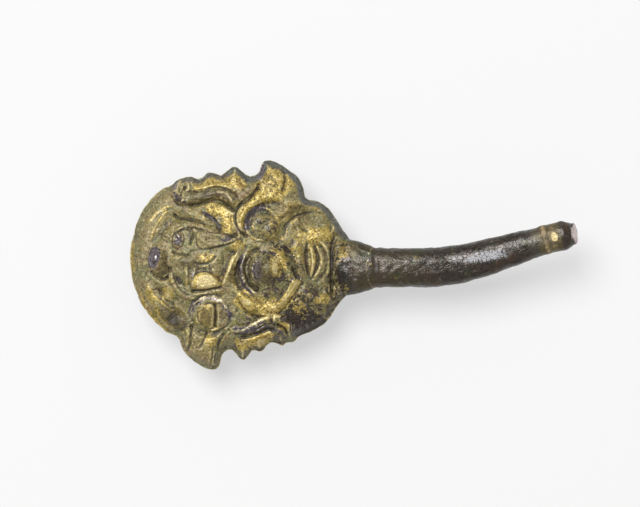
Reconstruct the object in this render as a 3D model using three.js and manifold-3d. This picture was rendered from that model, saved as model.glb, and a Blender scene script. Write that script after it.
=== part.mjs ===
// Garment hook, cast in one piece of bronze and gilded: a carved plate of two
// interlocked beast masks, a curved arm that ends in a broken stub, and on the
// back a round button on a short stem. Millimetres, +Z up, arm along +X.
// The origin is the middle of the button's flat underside, on which it rests.
import * as THREE from 'three';
import { mergeVertices } from 'three/addons/utils/BufferGeometryUtils.js';
import Module from 'manifold-3d';

// Button and stem
const buttonRadius = 8;
const buttonThickness = 1.8;
const buttonEdgeRound = 0.6;
const stemRadius = 2.4;
const beltGap = 5.5;

// Plate, whose middle lies off the button's axis, away from the arm
const plateRadius = 15;
const plateOffset = 2;
const plateCamber = 1.2;
const plateEdge = 1.1;
const plateBody = 1.5;
const rimRise = 0.8;
const rimWidth = 2;
const crownRise = 0.9;
const bevelWidth = 1.1;
const bevelKeeps = 0.3;
const backBevel = 0.3;
const backHollowRadius = 10.5;
const backHollowDepth = 0.5;

// One step of the carving: each form of the relief is a share of this height
const carveStep = 0.85;

// Arm, from its root inside the plate to the broken end
const armLength = 33.8;
const armRootInset = 0.7;
const armSide = 0.36;
const armLevel = 2.2;
const neckWidth = 8.4;
const armWidth = 5.6;
const tipWidth = 4.3;
const neckDepth = 3.9;
const armDepth = 4.4;
const tipDepth = 3.7;
const armSway = 5.1;
const armArch = 0.5;
const tipRise = 2.9;
const collarGroove = 0.22;
const headStep = 0.1;
const headRing = 0.1;
const headBlock = 0.06;
const headEyeLength = 1.4;
const headEyeWidth = 0.95;
const headEyeRise = 0.35;
const breakTaper = 0.42;
const breakTilt = 0.34;

// Fineness of the mesh
const plateRings = 30;
const plateSectors = 6;
const armSides = 18;
const armSteps = 30;
const turnSegments = 32;

const plateBack = buttonThickness + beltGap;
const wasm = await Module();
wasm.setup();

function smooth(low, high, value) {
  return THREE.MathUtils.smoothstep(value, low, high);
}

function bump(distance, width) {
  const rest = Math.max(0, 1 - (distance / width) ** 2);
  return rest * rest;
}

// Outline of the plate from its middle: angle in degrees anticlockwise from
// the arm, and distance as a share of the plate's radius
const outlineStations = [
  [0, 1.16], [11, 1.14], [17, 1.06], [24, 1.035], [31, 1.02], [38, 0.98], [44.6, 0.905],
  [50, 0.967], [56, 1.015], [63, 1.031], [70, 1.046], [75.4, 1.035], [77, 0.985], [77.6, 0.9],
  [82, 0.855], [90, 0.86], [100, 0.87], [113, 0.893], [115.5, 0.915], [118, 0.96], [126, 1],
  [129, 0.99], [137, 1.035], [147, 1.05], [160, 1.047], [175, 1.04], [190, 1.02], [205, 0.99],
  [221, 0.945], [231, 0.905], [236, 0.96], [244, 1.008], [252, 1.033], [257.6, 1.02],
  [259.4, 0.97], [260, 0.86], [263, 0.815], [270, 0.812], [281, 0.83], [292, 0.803],
  [298, 0.84], [304, 0.88], [311, 0.901], [319, 0.95], [326, 1], [336, 1.02], [343, 1.055],
  [348, 1.14],
];

// Teeth along the outline: angle, height as a share of the radius, half width in degrees
const teeth = [
  [92, 0.09, 8], [107.5, 0.06, 6.5], [272.6, 0.115, 6],
  [285.4, 0.045, 4.5], [298.6, 0.045, 3], [305.5, 0.025, 3.5],
];

function toothAt(degrees) {
  let height = 0;
  for (const [at, rise, half] of teeth) {
    const apart = THREE.MathUtils.euclideanModulo(degrees - at, 360);
    const off = Math.min(apart, 360 - apart);
    height += rise * Math.max(0, 1 - off / half);
  }
  return height;
}

const outlineCurve = new THREE.CatmullRomCurve3(
  outlineStations.map(([degrees, share]) => {
    const turn = THREE.MathUtils.degToRad(degrees);
    return new THREE.Vector3(share * Math.cos(turn), share * Math.sin(turn), 0);
  }), true, 'centripetal');
outlineCurve.arcLengthDivisions = 2000;

// A point of the outline at a share of its length, in shares of the plate's radius
function outlineAt(part) {
  const point = outlineCurve.getPointAt(part % 1);
  const turn = Math.atan2(point.y, point.x);
  const reach = Math.hypot(point.x, point.y) + toothAt(THREE.MathUtils.radToDeg(turn));
  return [reach * Math.cos(turn), reach * Math.sin(turn)];
}

// A smooth line through points, as short straight pieces with their running length
function through(points, closed = false) {
  const vectors = points.map(([x, y]) => new THREE.Vector3(x, y, 0));
  const curve = new THREE.CatmullRomCurve3(vectors, closed, 'catmullrom', 0.5);
  const line = curve.getPoints(points.length * 5).map((point) => [point.x, point.y]);
  const run = [0];
  for (let i = 1; i < line.length; i += 1) {
    const length = Math.hypot(line[i][0] - line[i - 1][0], line[i][1] - line[i - 1][1]);
    run.push(run[i - 1] + length);
  }
  return { line, run };
}

// Distance from a point to such a line, the share of its length there, and the side
function nearest({ line, run }, x, y) {
  let distance = Infinity;
  let share = 0;
  let side = 0;
  for (let i = 0; i < line.length - 1; i += 1) {
    const [ax, ay] = line[i];
    const dx = line[i + 1][0] - ax;
    const dy = line[i + 1][1] - ay;
    const length = Math.hypot(dx, dy);
    const along = ((x - ax) * dx + (y - ay) * dy) / (length * length);
    const t = THREE.MathUtils.clamp(along, 0, 1);
    const ex = x - ax - t * dx;
    const ey = y - ay - t * dy;
    const off = Math.hypot(ex, ey);
    if (off < distance) {
      distance = off;
      share = (run[i] + t * length) / run[run.length - 1];
      side = Math.sign(dx * ey - dy * ex);
    }
  }
  return { distance, share, side };
}

function within({ line }, x, y) {
  let odd = false;
  for (let i = 0; i < line.length - 1; i += 1) {
    const [ax, ay] = line[i];
    const [bx, by] = line[i + 1];
    if ((ay > y) !== (by > y) && x < ((bx - ax) * (y - ay)) / (by - ay) + ax) odd = !odd;
  }
  return odd;
}

// The carving is a list of forms. Each gives its rise, in steps of the carving,
// at a point of the plate; places and widths are shares of the plate's radius.
const forms = [];

// A raised ridge along a line, or with a negative rise a groove. It fades over
// the given share of its length at each end.
function ridge(points, width, rise, startFade = 0.15, endFade = 0.15) {
  const path = through(points);
  forms.push((x, y) => {
    const { distance, share } = nearest(path, x, y);
    const ends = smooth(0, startFade, share) * smooth(0, endFade, 1 - share);
    return rise * ends * bump(distance, width);
  });
}

// A round roll along a line, steeper at its sides than a ridge
function roll(points, width, rise, startFade = 0.1, endFade = 0.15) {
  const path = through(points);
  forms.push((x, y) => {
    const { distance, share } = nearest(path, x, y);
    const ends = smooth(0, startFade, share) * smooth(0, endFade, 1 - share);
    return rise * ends * Math.sqrt(Math.max(0, 1 - (distance / width) ** 2));
  });
}

// A pointed leaf along a line: blunt where it starts, a point where it ends
const leafBlunt = 8;

function leaf(points, width, rise) {
  const path = through(points);
  forms.push((x, y) => {
    const { distance, share } = nearest(path, x, y);
    const half = width * Math.sqrt(Math.max(0.001, 1 - share)) * Math.sqrt(Math.min(1, share * leafBlunt));
    return half > 0 ? rise * smooth(0, 0.05, share) * bump(distance, half) : 0;
  });
}

// A level field inside a closed line, with a sloping edge
function terrace(points, rise, slope) {
  const path = through(points, true);
  forms.push((x, y) => {
    const { distance } = nearest(path, x, y);
    return rise * smooth(-slope, slope, within(path, x, y) ? distance : -distance);
  });
}

// The ground on the right of a line drops, and climbs back over a reach
function cliff(points, fall, edge, reach) {
  const path = through(points);
  forms.push((x, y) => {
    const { distance, share, side } = nearest(path, x, y);
    if (side >= 0) return 0;
    const ends = smooth(0, 0.2, share) * smooth(0, 0.2, 1 - share);
    return -fall * ends * smooth(0, edge, distance) * (1 - smooth(edge, reach, distance));
  });
}

// A domed oval boss; swell is the same with a soft foot, and sinks with a negative rise
function boss([cx, cy], [long, wide], rise, degrees = 0, soft = false) {
  const turn = THREE.MathUtils.degToRad(degrees);
  forms.push((x, y) => {
    const u = ((x - cx) * Math.cos(turn) + (y - cy) * Math.sin(turn)) / long;
    const v = ((y - cy) * Math.cos(turn) - (x - cx) * Math.sin(turn)) / wide;
    const rest = Math.max(0, 1 - u * u - v * v);
    return rise * (soft ? rest * rest : Math.sqrt(rest));
  });
}

function swell(centre, sizes, rise, degrees = 0) {
  boss(centre, sizes, rise, degrees, true);
}

// Worn lip and hollow that follow the rim on the left
function carveRim() {
  ridge([[-0.48, 0.57], [-0.59, 0.54], [-0.7, 0.5], [-0.77, 0.4], [-0.83, 0.28], [-0.85, 0.14]],
    0.06, 0.5);
  ridge([[-0.88, -0.16], [-0.82, -0.3], [-0.72, -0.44], [-0.59, -0.56]], 0.067, 0.45);
  ridge([[-0.44, 0.47], [-0.57, 0.47], [-0.67, 0.42], [-0.74, 0.3], [-0.77, 0.18]], 0.076, -0.5);
  ridge([[-0.76, -0.2], [-0.69, -0.32], [-0.59, -0.42], [-0.5, -0.49]], 0.067, -0.5);
  swell([-0.67, -0.33], [0.105, 0.076], 0.5, -50);
  swell([-0.61, -0.5], [0.086, 0.057], 0.4, -40);
}

// Toothed band above: raised, rolled at its lower edge, curled at its left end
function carveUpperBand() {
  terrace([[-0.62, 0.75], [-0.5, 0.9], [-0.27, 0.98], [-0.03, 1.02], [0.17, 0.92], [0.21, 0.78],
    [0.12, 0.65], [0.01, 0.55], [-0.12, 0.59], [-0.29, 0.61], [-0.46, 0.58], [-0.57, 0.61]], 1, 0.03);
  roll([[-0.55, 0.64], [-0.46, 0.62], [-0.31, 0.65], [-0.17, 0.64], [-0.07, 0.6], [0, 0.52]], 0.062, 1);
  ridge([[-0.46, 0.69], [-0.34, 0.71], [-0.22, 0.73], [-0.1, 0.71], [0.02, 0.68], [0.1, 0.62]],
    0.036, -0.75);
  ridge([[-0.52, 0.59], [-0.57, 0.66], [-0.56, 0.74], [-0.5, 0.79], [-0.45, 0.78], [-0.43, 0.73]],
    0.05, 0.8);
  ridge([[-0.51, 0.55], [-0.4, 0.56], [-0.25, 0.58], [-0.11, 0.56], [-0.01, 0.5]], 0.05, -0.9);
  ridge([[-0.36, 0.54], [-0.23, 0.56], [-0.11, 0.53], [-0.04, 0.47], [0, 0.37]], 0.03, 0.4);
  ridge([[0.23, 0.81], [0.18, 0.71], [0.1, 0.64], [0.02, 0.56]], 0.034, -1);
}

// Toothed band below, the same turned half round, with its roll run out to the right
function carveLowerBand() {
  terrace([[-0.1, -0.78], [0, -1], [0.23, -0.92], [0.45, -0.85], [0.61, -0.73], [0.6, -0.62],
    [0.48, -0.5], [0.34, -0.45], [0.21, -0.49], [0.08, -0.55], [-0.06, -0.53], [-0.13, -0.63]], 0.9, 0.03);
  roll([[-0.09, -0.54], [0, -0.61], [0.11, -0.6], [0.23, -0.53], [0.32, -0.5], [0.43, -0.52],
    [0.51, -0.59], [0.56, -0.67]], 0.058, 1);
  ridge([[-0.06, -0.67], [0.04, -0.7], [0.17, -0.67], [0.29, -0.6], [0.38, -0.61], [0.45, -0.67]],
    0.045, -1);
}

// Flange above, flowing down round the eye below it, and its twin at the lower left
function carveFlanges() {
  terrace([[0.2, 0.85], [0.21, 1], [0.29, 1.07], [0.51, 0.98], [0.64, 0.84], [0.7, 0.68], [0.62, 0.58],
    [0.48, 0.56], [0.36, 0.61], [0.25, 0.6], [0.11, 0.52], [0.05, 0.41], [0.04, 0.28], [-0.01, 0.3],
    [-0.03, 0.47], [0.06, 0.58], [0.19, 0.71]], 1.2, 0.033);
  ridge([[0.41, 0.9], [0.44, 0.8], [0.42, 0.68]], 0.032, -0.7);
  terrace([[-0.57, -0.69], [-0.51, -0.6], [-0.39, -0.65], [-0.28, -0.69], [-0.16, -0.66], [-0.1, -0.59],
    [-0.12, -0.71], [-0.15, -0.83], [-0.13, -1.02], [-0.31, -1.06], [-0.51, -0.92], [-0.61, -0.76]],
    1.1, 0.033);
  ridge([[-0.43, -0.65], [-0.45, -0.73], [-0.46, -0.82]], 0.03, -0.6);
  ridge([[-0.33, -0.71], [-0.3, -0.77], [-0.28, -0.86]], 0.048, -0.35);
  ridge([[-0.17, -0.7], [-0.21, -0.81], [-0.24, -0.96]], 0.028, -0.4);
}

// Round eye: a thin lip, a moat and a lens that a crescent cuts on one side
function carveRoundEye([cx, cy], way) {
  boss([cx, cy], [0.181, 0.171], 0.55);
  boss([cx, cy], [0.157, 0.148], -0.75);
  boss([cx, cy], [0.138, 0.129], 0.9);
  const crescent = [-80, -40, 0, 40, 80].map((degrees) => {
    const turn = THREE.MathUtils.degToRad(degrees);
    return [cx + way * (0.03 + 0.04 * Math.cos(turn) ** 2), cy + 0.125 * Math.sin(turn)];
  });
  ridge(crescent, 0.028, -0.6);
}

// Small beast face that looks to the left: nose, muzzle, eyes with brows, pointed ears
function carveSmallFace() {
  terrace([[-0.85, 0.07], [-0.76, 0.2], [-0.65, 0.33], [-0.5, 0.4], [-0.3, 0.35], [-0.1, 0.3], [0.03, 0.2],
    [-0.02, 0.03], [-0.13, -0.21], [-0.29, -0.29], [-0.48, -0.34], [-0.65, -0.26], [-0.78, -0.15],
    [-0.84, -0.06]], 0.8, 0.05);
  swell([-0.75, 0.01], [0.114, 0.162], 0.6);
  boss([-0.77, 0.06], [0.076, 0.095], 0.8, 20);
  boss([-0.74, -0.04], [0.071, 0.086], 0.6, -10);
  ridge([[-0.69, 0.04], [-0.53, 0.06], [-0.36, 0.06], [-0.19, 0.05]], 0.086, 0.7, 0.2, 0.4);
  boss([-0.55, 0.23], [0.052, 0.076], 0.8, -10);
  ridge([[-0.65, 0.17], [-0.62, 0.28], [-0.54, 0.34], [-0.46, 0.34], [-0.42, 0.28], [-0.43, 0.17]],
    0.04, 0.7);
  swell([-0.54, -0.13], [0.067, 0.086], -0.9);
  ridge([[-0.63, -0.01], [-0.62, -0.14], [-0.55, -0.26], [-0.45, -0.32], [-0.35, -0.3]], 0.04, 0.7);
  leaf([[-0.42, 0.26], [-0.29, 0.27], [-0.17, 0.26], [-0.05, 0.24]], 0.086, 1.2);
  leaf([[-0.46, -0.15], [-0.34, -0.14], [-0.25, -0.15], [-0.15, -0.18]], 0.086, 1.3);
  ridge([[-0.25, 0.34], [-0.13, 0.31], [0, 0.24]], 0.035, -0.8);
  ridge([[-0.25, 0.15], [-0.13, 0.17], [0, 0.23]], 0.035, -0.7);
  ridge([[-0.43, -0.25], [-0.3, -0.25], [-0.16, -0.23]], 0.035, -0.8);
  ridge([[0.02, 0.14], [-0.03, 0.03], [-0.09, -0.08], [-0.15, -0.18]], 0.043, 0.7);
  cliff([[0.05, 0.17], [0, 0.03], [-0.06, -0.09], [-0.15, -0.24]], 1.1, 0.03, 0.152);
  ridge([[-0.57, 0.44], [-0.44, 0.42], [-0.33, 0.39], [-0.25, 0.33]], 0.03, -0.55);
  ridge([[-0.39, 0.53], [-0.29, 0.5], [-0.2, 0.41], [-0.15, 0.31]], 0.038, -0.4);
  swell([-0.11, 0.39], [0.105, 0.086], 0.45, -40);
}

// Great eye of the larger mask, and the crescents round it
function carveGreatEye() {
  swell([0.27, -0.07], [0.286, 0.267], 0.7);
  swell([0.29, -0.05], [0.162, 0.171], 1.3);
  boss([0.31, -0.03], [0.114, 0.124], 0.6);
  ridge([[0.23, 0.15], [0.13, 0.08], [0.1, -0.05], [0.14, -0.17], [0.24, -0.25]], 0.043, -0.8);
  ridge([[0.18, 0.17], [0.07, 0.07], [0.03, -0.07], [0.08, -0.19], [0.18, -0.3], [0.29, -0.33]],
    0.036, 0.8);
  ridge([[0.05, 0.1], [-0.02, -0.03], [-0.01, -0.15], [0.06, -0.27], [0.17, -0.35]], 0.034, -0.7);
  ridge([[-0.05, -0.21], [0.01, -0.33], [0.11, -0.42], [0.24, -0.45], [0.35, -0.4], [0.46, -0.31],
    [0.57, -0.2]], 0.067, 1);
}

// Great snout of the larger mask: swollen ring, folds, cheeks and lips
function carveGreatSnout() {
  ridge([[0.25, 0.18], [0.32, 0.32], [0.46, 0.46], [0.62, 0.53], [0.77, 0.51], [0.9, 0.4], [0.98, 0.24]],
    0.181, 1.2);
  ridge([[0.23, 0.16], [0.35, 0.14], [0.45, 0.05], [0.5, -0.09], [0.55, -0.23]], 0.057, 0.8);
  ridge([[0.42, 0.17], [0.51, 0.07], [0.56, -0.07], [0.6, -0.19]], 0.038, -0.6);
  swell([0.6, 0.03], [0.086, 0.248], 0.5);
  ridge([[0.58, -0.22], [0.69, -0.3], [0.8, -0.32], [0.91, -0.28], [0.99, -0.19]], 0.086, 0.8);
  swell([0.79, 0.26], [0.162, 0.105], 0.8);
  ridge([[0.65, 0.2], [0.61, 0.07], [0.63, -0.07], [0.7, -0.18]], 0.04, -0.9);
  ridge([[0.71, 0.17], [0.68, 0.05], [0.69, -0.07], [0.74, -0.16]], 0.036, 1);
  ridge([[0.75, 0.12], [0.73, 0.02], [0.75, -0.11]], 0.028, -0.6);
  ridge([[0.72, 0.21], [0.81, 0.12], [0.86, 0.02], [0.85, -0.12], [0.77, -0.2]], 0.034, 0.8);
  swell([1.05, -0.01], [0.35, 0.35], 2.1);
  ridge([[0.94, 0.33], [0.9, 0.19], [0.89, 0.03], [0.9, -0.14], [0.91, -0.3], [0.89, -0.41]], 0.04, -1.25);
}

carveRim();
carveUpperBand();
carveLowerBand();
carveFlanges();
carveRoundEye([0.24, 0.39], -1);
carveRoundEye([-0.26, -0.47], 1);
carveSmallFace();
carveGreatEye();
carveGreatSnout();

// Height of the plate's front over its back plane, in millimetres, at a point
// given in shares of the plate's radius
const edgePath = (() => {
  const points = [];
  const count = plateSectors * plateRings;
  for (let i = 0; i <= count; i += 1) points.push(outlineAt(i / count));
  return { line: points, run: points.map((point, index) => index) };
})();

function frontHeight(x, y) {
  const inset = nearest(edgePath, x, y).distance * plateRadius;
  let height = plateBody + rimRise * smooth(0, rimWidth, inset);
  height += crownRise * bump(Math.hypot(x - 0.2, y), 1);
  for (const form of forms) height += carveStep * form(x, y);
  return plateEdge + (height - plateEdge) * (bevelKeeps + (1 - bevelKeeps) * smooth(0, bevelWidth, inset));
}

function meshFrom(positions, indices) {
  const geometry = new THREE.BufferGeometry();
  geometry.setAttribute('position', new THREE.Float32BufferAttribute(positions, 3));
  geometry.setIndex(indices);
  return geometry;
}

// The plate is dished: from the middle it falls away to its edge
function camberDrop(x, y) {
  return plateCamber * (x * x + y * y);
}

// Plate: rings of points from the middle to the outline carry the carved front,
// and close over a straight edge and a hollow back
function plateGeometry() {
  const positions = [0, 0, frontHeight(0, 0)];
  const indices = [];
  const ringStart = (ring) => 1 + (plateSectors / 2) * ring * (ring - 1);
  const outer = plateSectors * plateRings;
  for (let ring = 1; ring <= plateRings; ring += 1) {
    for (let i = 0; i < plateSectors * ring; i += 1) {
      const [x, y] = outlineAt(i / (plateSectors * ring)).map((value) => (value * ring) / plateRings);
      positions.push(x * plateRadius, y * plateRadius, frontHeight(x, y) - camberDrop(x, y));
    }
    const inner = plateSectors * (ring - 1);
    for (let side = 0; side < plateSectors; side += 1) {
      for (let i = 0; i < ring; i += 1) {
        const a = ringStart(ring) + side * ring + i;
        const b = ringStart(ring) + ((side * ring + i + 1) % (plateSectors * ring));
        const c = ring === 1 ? 0 : ringStart(ring - 1) + ((side * (ring - 1) + i) % inner);
        indices.push(a, b, c);
        if (i > 0) indices.push(c - 1 < ringStart(ring - 1) ? c - 1 + inner : c - 1, a, c);
      }
    }
  }
  const backRings = [[backBevel, 1], [0, 1 - backBevel / plateRadius], [0, 0.7]];
  let above = ringStart(plateRings);
  for (const [level, shrink] of backRings) {
    const below = positions.length / 3;
    for (let i = 0; i < outer; i += 1) {
      const [x, y] = outlineAt(i / outer).map((value) => value * shrink);
      positions.push(x * plateRadius, y * plateRadius, level - camberDrop(x, y));
    }
    for (let i = 0; i < outer; i += 1) {
      const next = (i + 1) % outer;
      indices.push(above + i, below + i, above + next);
      indices.push(above + next, below + i, below + next);
    }
    above = below;
  }
  const middle = positions.length / 3;
  positions.push(0, 0, 0);
  for (let i = 0; i < outer; i += 1) indices.push(middle, above + ((i + 1) % outer), above + i);
  return meshFrom(positions, indices).translate(-plateOffset, 0, plateBack);
}

// Shallow hollow that the caster left in the plate's back
function backHollowGeometry() {
  const profile = [];
  const steps = 3;
  for (let i = 0; i <= steps; i += 1) {
    const share = i / steps;
    profile.push(new THREE.Vector2(backHollowRadius * share, backHollowDepth * (1 - share ** 4)));
  }
  profile.push(new THREE.Vector2(backHollowRadius, -backHollowDepth));
  profile.push(new THREE.Vector2(0, -backHollowDepth));
  profile.reverse();
  const hollow = new THREE.LatheGeometry(profile, turnSegments);
  return hollow.rotateX(Math.PI / 2).translate(-plateOffset, 0, plateBack);
}

// Button and stem, turned about the axis; the stem runs up into the plate
function buttonGeometry() {
  const top = plateBack + plateBody / 2 + backHollowDepth;
  const flat = buttonRadius - buttonEdgeRound;
  const profile = [new THREE.Vector2(0, 0), new THREE.Vector2(flat, 0)];
  for (let i = 1; i <= 4; i += 1) {
    const turn = (i / 4) * Math.PI / 2;
    profile.push(new THREE.Vector2(
      flat + buttonEdgeRound * Math.sin(turn), buttonEdgeRound * (1 - Math.cos(turn))));
  }
  profile.push(new THREE.Vector2(buttonRadius, buttonThickness - buttonEdgeRound));
  profile.push(new THREE.Vector2(flat, buttonThickness - buttonEdgeRound / 3));
  profile.push(new THREE.Vector2(stemRadius * 1.25, buttonThickness));
  profile.push(new THREE.Vector2(stemRadius, buttonThickness + stemRadius * 0.2));
  profile.push(new THREE.Vector2(stemRadius, plateBack - stemRadius * 0.2));
  profile.push(new THREE.Vector2(stemRadius * 1.2, plateBack + backHollowDepth));
  profile.push(new THREE.Vector2(stemRadius * 1.2, top));
  profile.push(new THREE.Vector2(0, top));
  return new THREE.LatheGeometry(profile, turnSegments).rotateX(Math.PI / 2);
}

// Arm: shares of its length at which its surface changes
const collarAt = 0.16;
const headFrom = 0.8;
const headRingAt = 0.875;
const headEyeAt = 0.915;
const headBlockFrom = 0.94;
const breakFrom = 0.945;
const armRoot = -plateOffset + plateRadius - armRootInset;

function armCentre(share) {
  const climb = smooth(0.4, 1.02, share);
  return new THREE.Vector3(
    armRoot + armLength * share,
    armSway * smooth(0.37, 1.1, share) - armSide,
    plateBack - plateCamber + armLevel + armArch * Math.sin(Math.PI * share) + tipRise * climb,
  );
}

function armFrame(share) {
  const step = 0.005;
  const along = armCentre(share + step).sub(armCentre(share - step)).normalize();
  const across = new THREE.Vector3(-along.y, along.x, 0).normalize();
  const up = new THREE.Vector3().crossVectors(along, across);
  return { along, across, up };
}

function armSwelling(share) {
  let swelling = -collarGroove * bump(share - collarAt, 0.022);
  swelling -= headStep * smooth(headFrom - 0.01, headFrom + 0.01, share);
  swelling += headRing * bump(share - headRingAt, 0.02);
  const block = smooth(headBlockFrom - 0.012, headBlockFrom, share) * (1 - smooth(0.98, 1, share));
  swelling += headBlock * block;
  return swelling;
}

function armHalfWidth(share) {
  const flare = (neckWidth - armWidth) * (1 - smooth(0, 0.22, share));
  return (armWidth + flare - (armWidth - tipWidth) * smooth(0.45, 0.88, share)) / 2 + armSwelling(share);
}

function armHalfDepth(share) {
  const neck = (armDepth - neckDepth) * (1 - smooth(0, 0.3, share));
  return (armDepth - neck - (armDepth - tipDepth) * smooth(0.3, 0.88, share)) / 2 + armSwelling(share);
}

// The section is a full oval, a little flatter underneath; the root is rounded
// and the stub tapers to a broken face that leans back
function armPoint(share, turn) {
  const { along, across, up } = armFrame(share);
  const round = Math.sqrt(1 - (1 - Math.min(1, share / 0.05 + 0.25)) ** 2);
  const broken = 1 - breakTaper * smooth(breakFrom, 1, share);
  const lean = breakTilt * smooth(breakFrom, 1, share);
  const full = 0.85;
  const cos = Math.sign(Math.cos(turn)) * Math.abs(Math.cos(turn)) ** full;
  const sin = Math.sign(Math.sin(turn)) * Math.abs(Math.sin(turn)) ** full;
  const flat = sin < 0 ? 0.86 : 1;
  const upward = armHalfDepth(share) * round * broken * flat * sin;
  return armCentre(share)
    .addScaledVector(across, -armHalfWidth(share) * round * broken * cos)
    .addScaledVector(up, upward)
    .addScaledVector(along, -lean * upward);
}

function armShares() {
  const shares = [];
  for (let i = 0; i <= armSteps; i += 1) shares.push(i / armSteps);
  for (const at of [collarAt, headFrom, headRingAt, headBlockFrom]) shares.push(at - 0.009, at, at + 0.009);
  shares.push(0.98);
  shares.sort((a, b) => a - b);
  return shares.filter((share, i) => i === 0 || share - shares[i - 1] > 0.003);
}

function armGeometry() {
  const positions = [];
  const indices = [];
  const shares = armShares();
  for (const share of shares) {
    for (let i = 0; i < armSides; i += 1) {
      positions.push(...armPoint(share, (i / armSides) * Math.PI * 2));
    }
  }
  for (let ring = 0; ring < shares.length - 1; ring += 1) {
    for (let i = 0; i < armSides; i += 1) {
      const a = ring * armSides + i;
      const b = ring * armSides + ((i + 1) % armSides);
      indices.push(a, a + armSides, b, b, a + armSides, b + armSides);
    }
  }
  const root = positions.length / 3;
  positions.push(...armCentre(0));
  positions.push(...armCentre(1));
  const last = (shares.length - 1) * armSides;
  for (let i = 0; i < armSides; i += 1) {
    const next = (i + 1) % armSides;
    indices.push(root, i, next, root + 1, last + next, last + i);
  }
  return meshFrom(positions, indices);
}

// Worn eye on the stub of the hook's head
function headEyeGeometry() {
  const { along, across, up } = armFrame(headEyeAt);
  const eye = new THREE.SphereGeometry(0.5, 10, 8);
  eye.scale(headEyeWidth, headEyeLength, headEyeRise * 2);
  const place = new THREE.Matrix4().makeBasis(along, across, up);
  const top = armCentre(headEyeAt).addScaledVector(up, armHalfDepth(headEyeAt));
  place.setPosition(top.x, top.y, top.z);
  return eye.applyMatrix4(place);
}

function solid(geometry) {
  geometry.deleteAttribute('normal');
  geometry.deleteAttribute('uv');
  const merged = mergeVertices(geometry, 1e-4);
  return new wasm.Manifold(new wasm.Mesh({
    numProp: 3,
    vertProperties: new Float32Array(merged.attributes.position.array),
    triVerts: new Uint32Array(merged.index.array),
  }));
}

function geometryOf(manifold) {
  const mesh = manifold.getMesh();
  return meshFrom(Array.from(mesh.vertProperties), Array.from(mesh.triVerts));
}

const casting = solid(plateGeometry())
  .subtract(solid(backHollowGeometry()))
  .add(solid(armGeometry()))
  .add(solid(headEyeGeometry()))
  .add(solid(buttonGeometry()));

const gildedBronze = new THREE.MeshStandardMaterial({ color: 0x9c8646, roughness: 0.45, metalness: 0.9 });
const hook = new THREE.Mesh(geometryOf(casting), gildedBronze);
hook.name = 'garment_hook';

const part = new THREE.Group();
part.add(hook);

export default part;
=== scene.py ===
import math

import bmesh
import bpy
import numpy as np
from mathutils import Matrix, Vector, noise


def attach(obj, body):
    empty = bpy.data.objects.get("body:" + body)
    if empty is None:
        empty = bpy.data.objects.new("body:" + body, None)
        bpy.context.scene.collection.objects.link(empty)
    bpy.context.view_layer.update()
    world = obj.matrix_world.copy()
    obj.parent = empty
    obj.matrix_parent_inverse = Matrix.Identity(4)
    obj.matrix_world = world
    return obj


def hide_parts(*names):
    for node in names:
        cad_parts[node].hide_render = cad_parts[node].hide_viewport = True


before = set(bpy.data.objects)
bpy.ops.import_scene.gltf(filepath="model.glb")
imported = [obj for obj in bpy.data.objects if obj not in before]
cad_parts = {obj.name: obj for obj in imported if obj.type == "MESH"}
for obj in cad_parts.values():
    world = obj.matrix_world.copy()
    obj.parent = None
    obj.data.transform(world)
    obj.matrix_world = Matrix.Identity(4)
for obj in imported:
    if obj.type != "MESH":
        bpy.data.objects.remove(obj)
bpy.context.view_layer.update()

# The casting. A small garment hook of bronze, cast in one piece by the lost wax
# way and then gilded on its face: plate, arm, stem and button run into each
# other. The solid is remeshed into even faces, finer on the carved front.
MM = 0.001
plate_radius = 15 * MM
plate_middle = Vector((-2 * MM, 0, 7.3 * MM))
plate_camber = 1.2 * MM
cast_grain = 0.28 * MM
front_reach = 1.2
fine_to, front_to = 1.12, 1.14
fine_above, front_above = 0.7 * MM, 0.6 * MM

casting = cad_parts["garment_hook"]
skin = casting.data.copy()
form = bmesh.new()
form.from_mesh(skin)
bmesh.ops.remove_doubles(form, verts=form.verts, dist=0.001 * MM)
form.to_mesh(skin)
form.free()
rough_hook = bpy.data.objects.new("rough_hook", skin)
bpy.context.scene.collection.objects.link(rough_hook)
remesh = rough_hook.modifiers.new("even_faces", "REMESH")
remesh.mode = "VOXEL"
remesh.voxel_size = cast_grain
bpy.context.view_layer.update()
depsgraph = bpy.context.evaluated_depsgraph_get()
skin = bpy.data.meshes.new_from_object(rough_hook.evaluated_get(depsgraph))
bpy.data.objects.remove(rough_hook)

form = bmesh.new()
form.from_mesh(skin)
form.normal_update()


def on_plate_front(vert):
    across = (vert.co.xy - plate_middle.xy) / plate_radius
    back = plate_middle.z - plate_camber * across.length_squared
    return (across.x < fine_to and across.length < front_reach
            and vert.co.z > back + fine_above and vert.normal.z > 0.1)


front_faces = [face for face in form.faces if all(on_plate_front(vert) for vert in face.verts)]
front_edges = list({edge for face in front_faces for edge in face.edges})
bmesh.ops.subdivide_edges(form, edges=front_edges, cuts=1, use_grid_fill=True)
bmesh.ops.triangulate(form, faces=[face for face in form.faces if len(face.verts) > 4])
form.normal_update()
form.verts.ensure_lookup_table()
places = np.array([vert.co for vert in form.verts])
normals = np.array([vert.normal for vert in form.verts])

# Places and widths on the plate's front are given as shares of its radius, from
# its middle, and heights of the carving as shares of one step of it.
share_x = (places[:, 0] - plate_middle.x) / plate_radius
share_y = (places[:, 1] - plate_middle.y) / plate_radius
plate_back = plate_middle.z - plate_camber * (share_x ** 2 + share_y ** 2)
front = ((normals[:, 2] > 0.02) & (places[:, 2] > plate_back + front_above)
         & (share_x < front_to) & (np.hypot(share_x, share_y) < front_reach))
front_ids = np.nonzero(front)[0]
px, py = share_x[front_ids], share_y[front_ids]
carving = np.zeros(len(front_ids))
carve_height = 0.6 * MM


def smooth(low, high, value):
    t = np.clip((value - low) / (high - low), 0, 1)
    return t * t * (3 - 2 * t)


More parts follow.
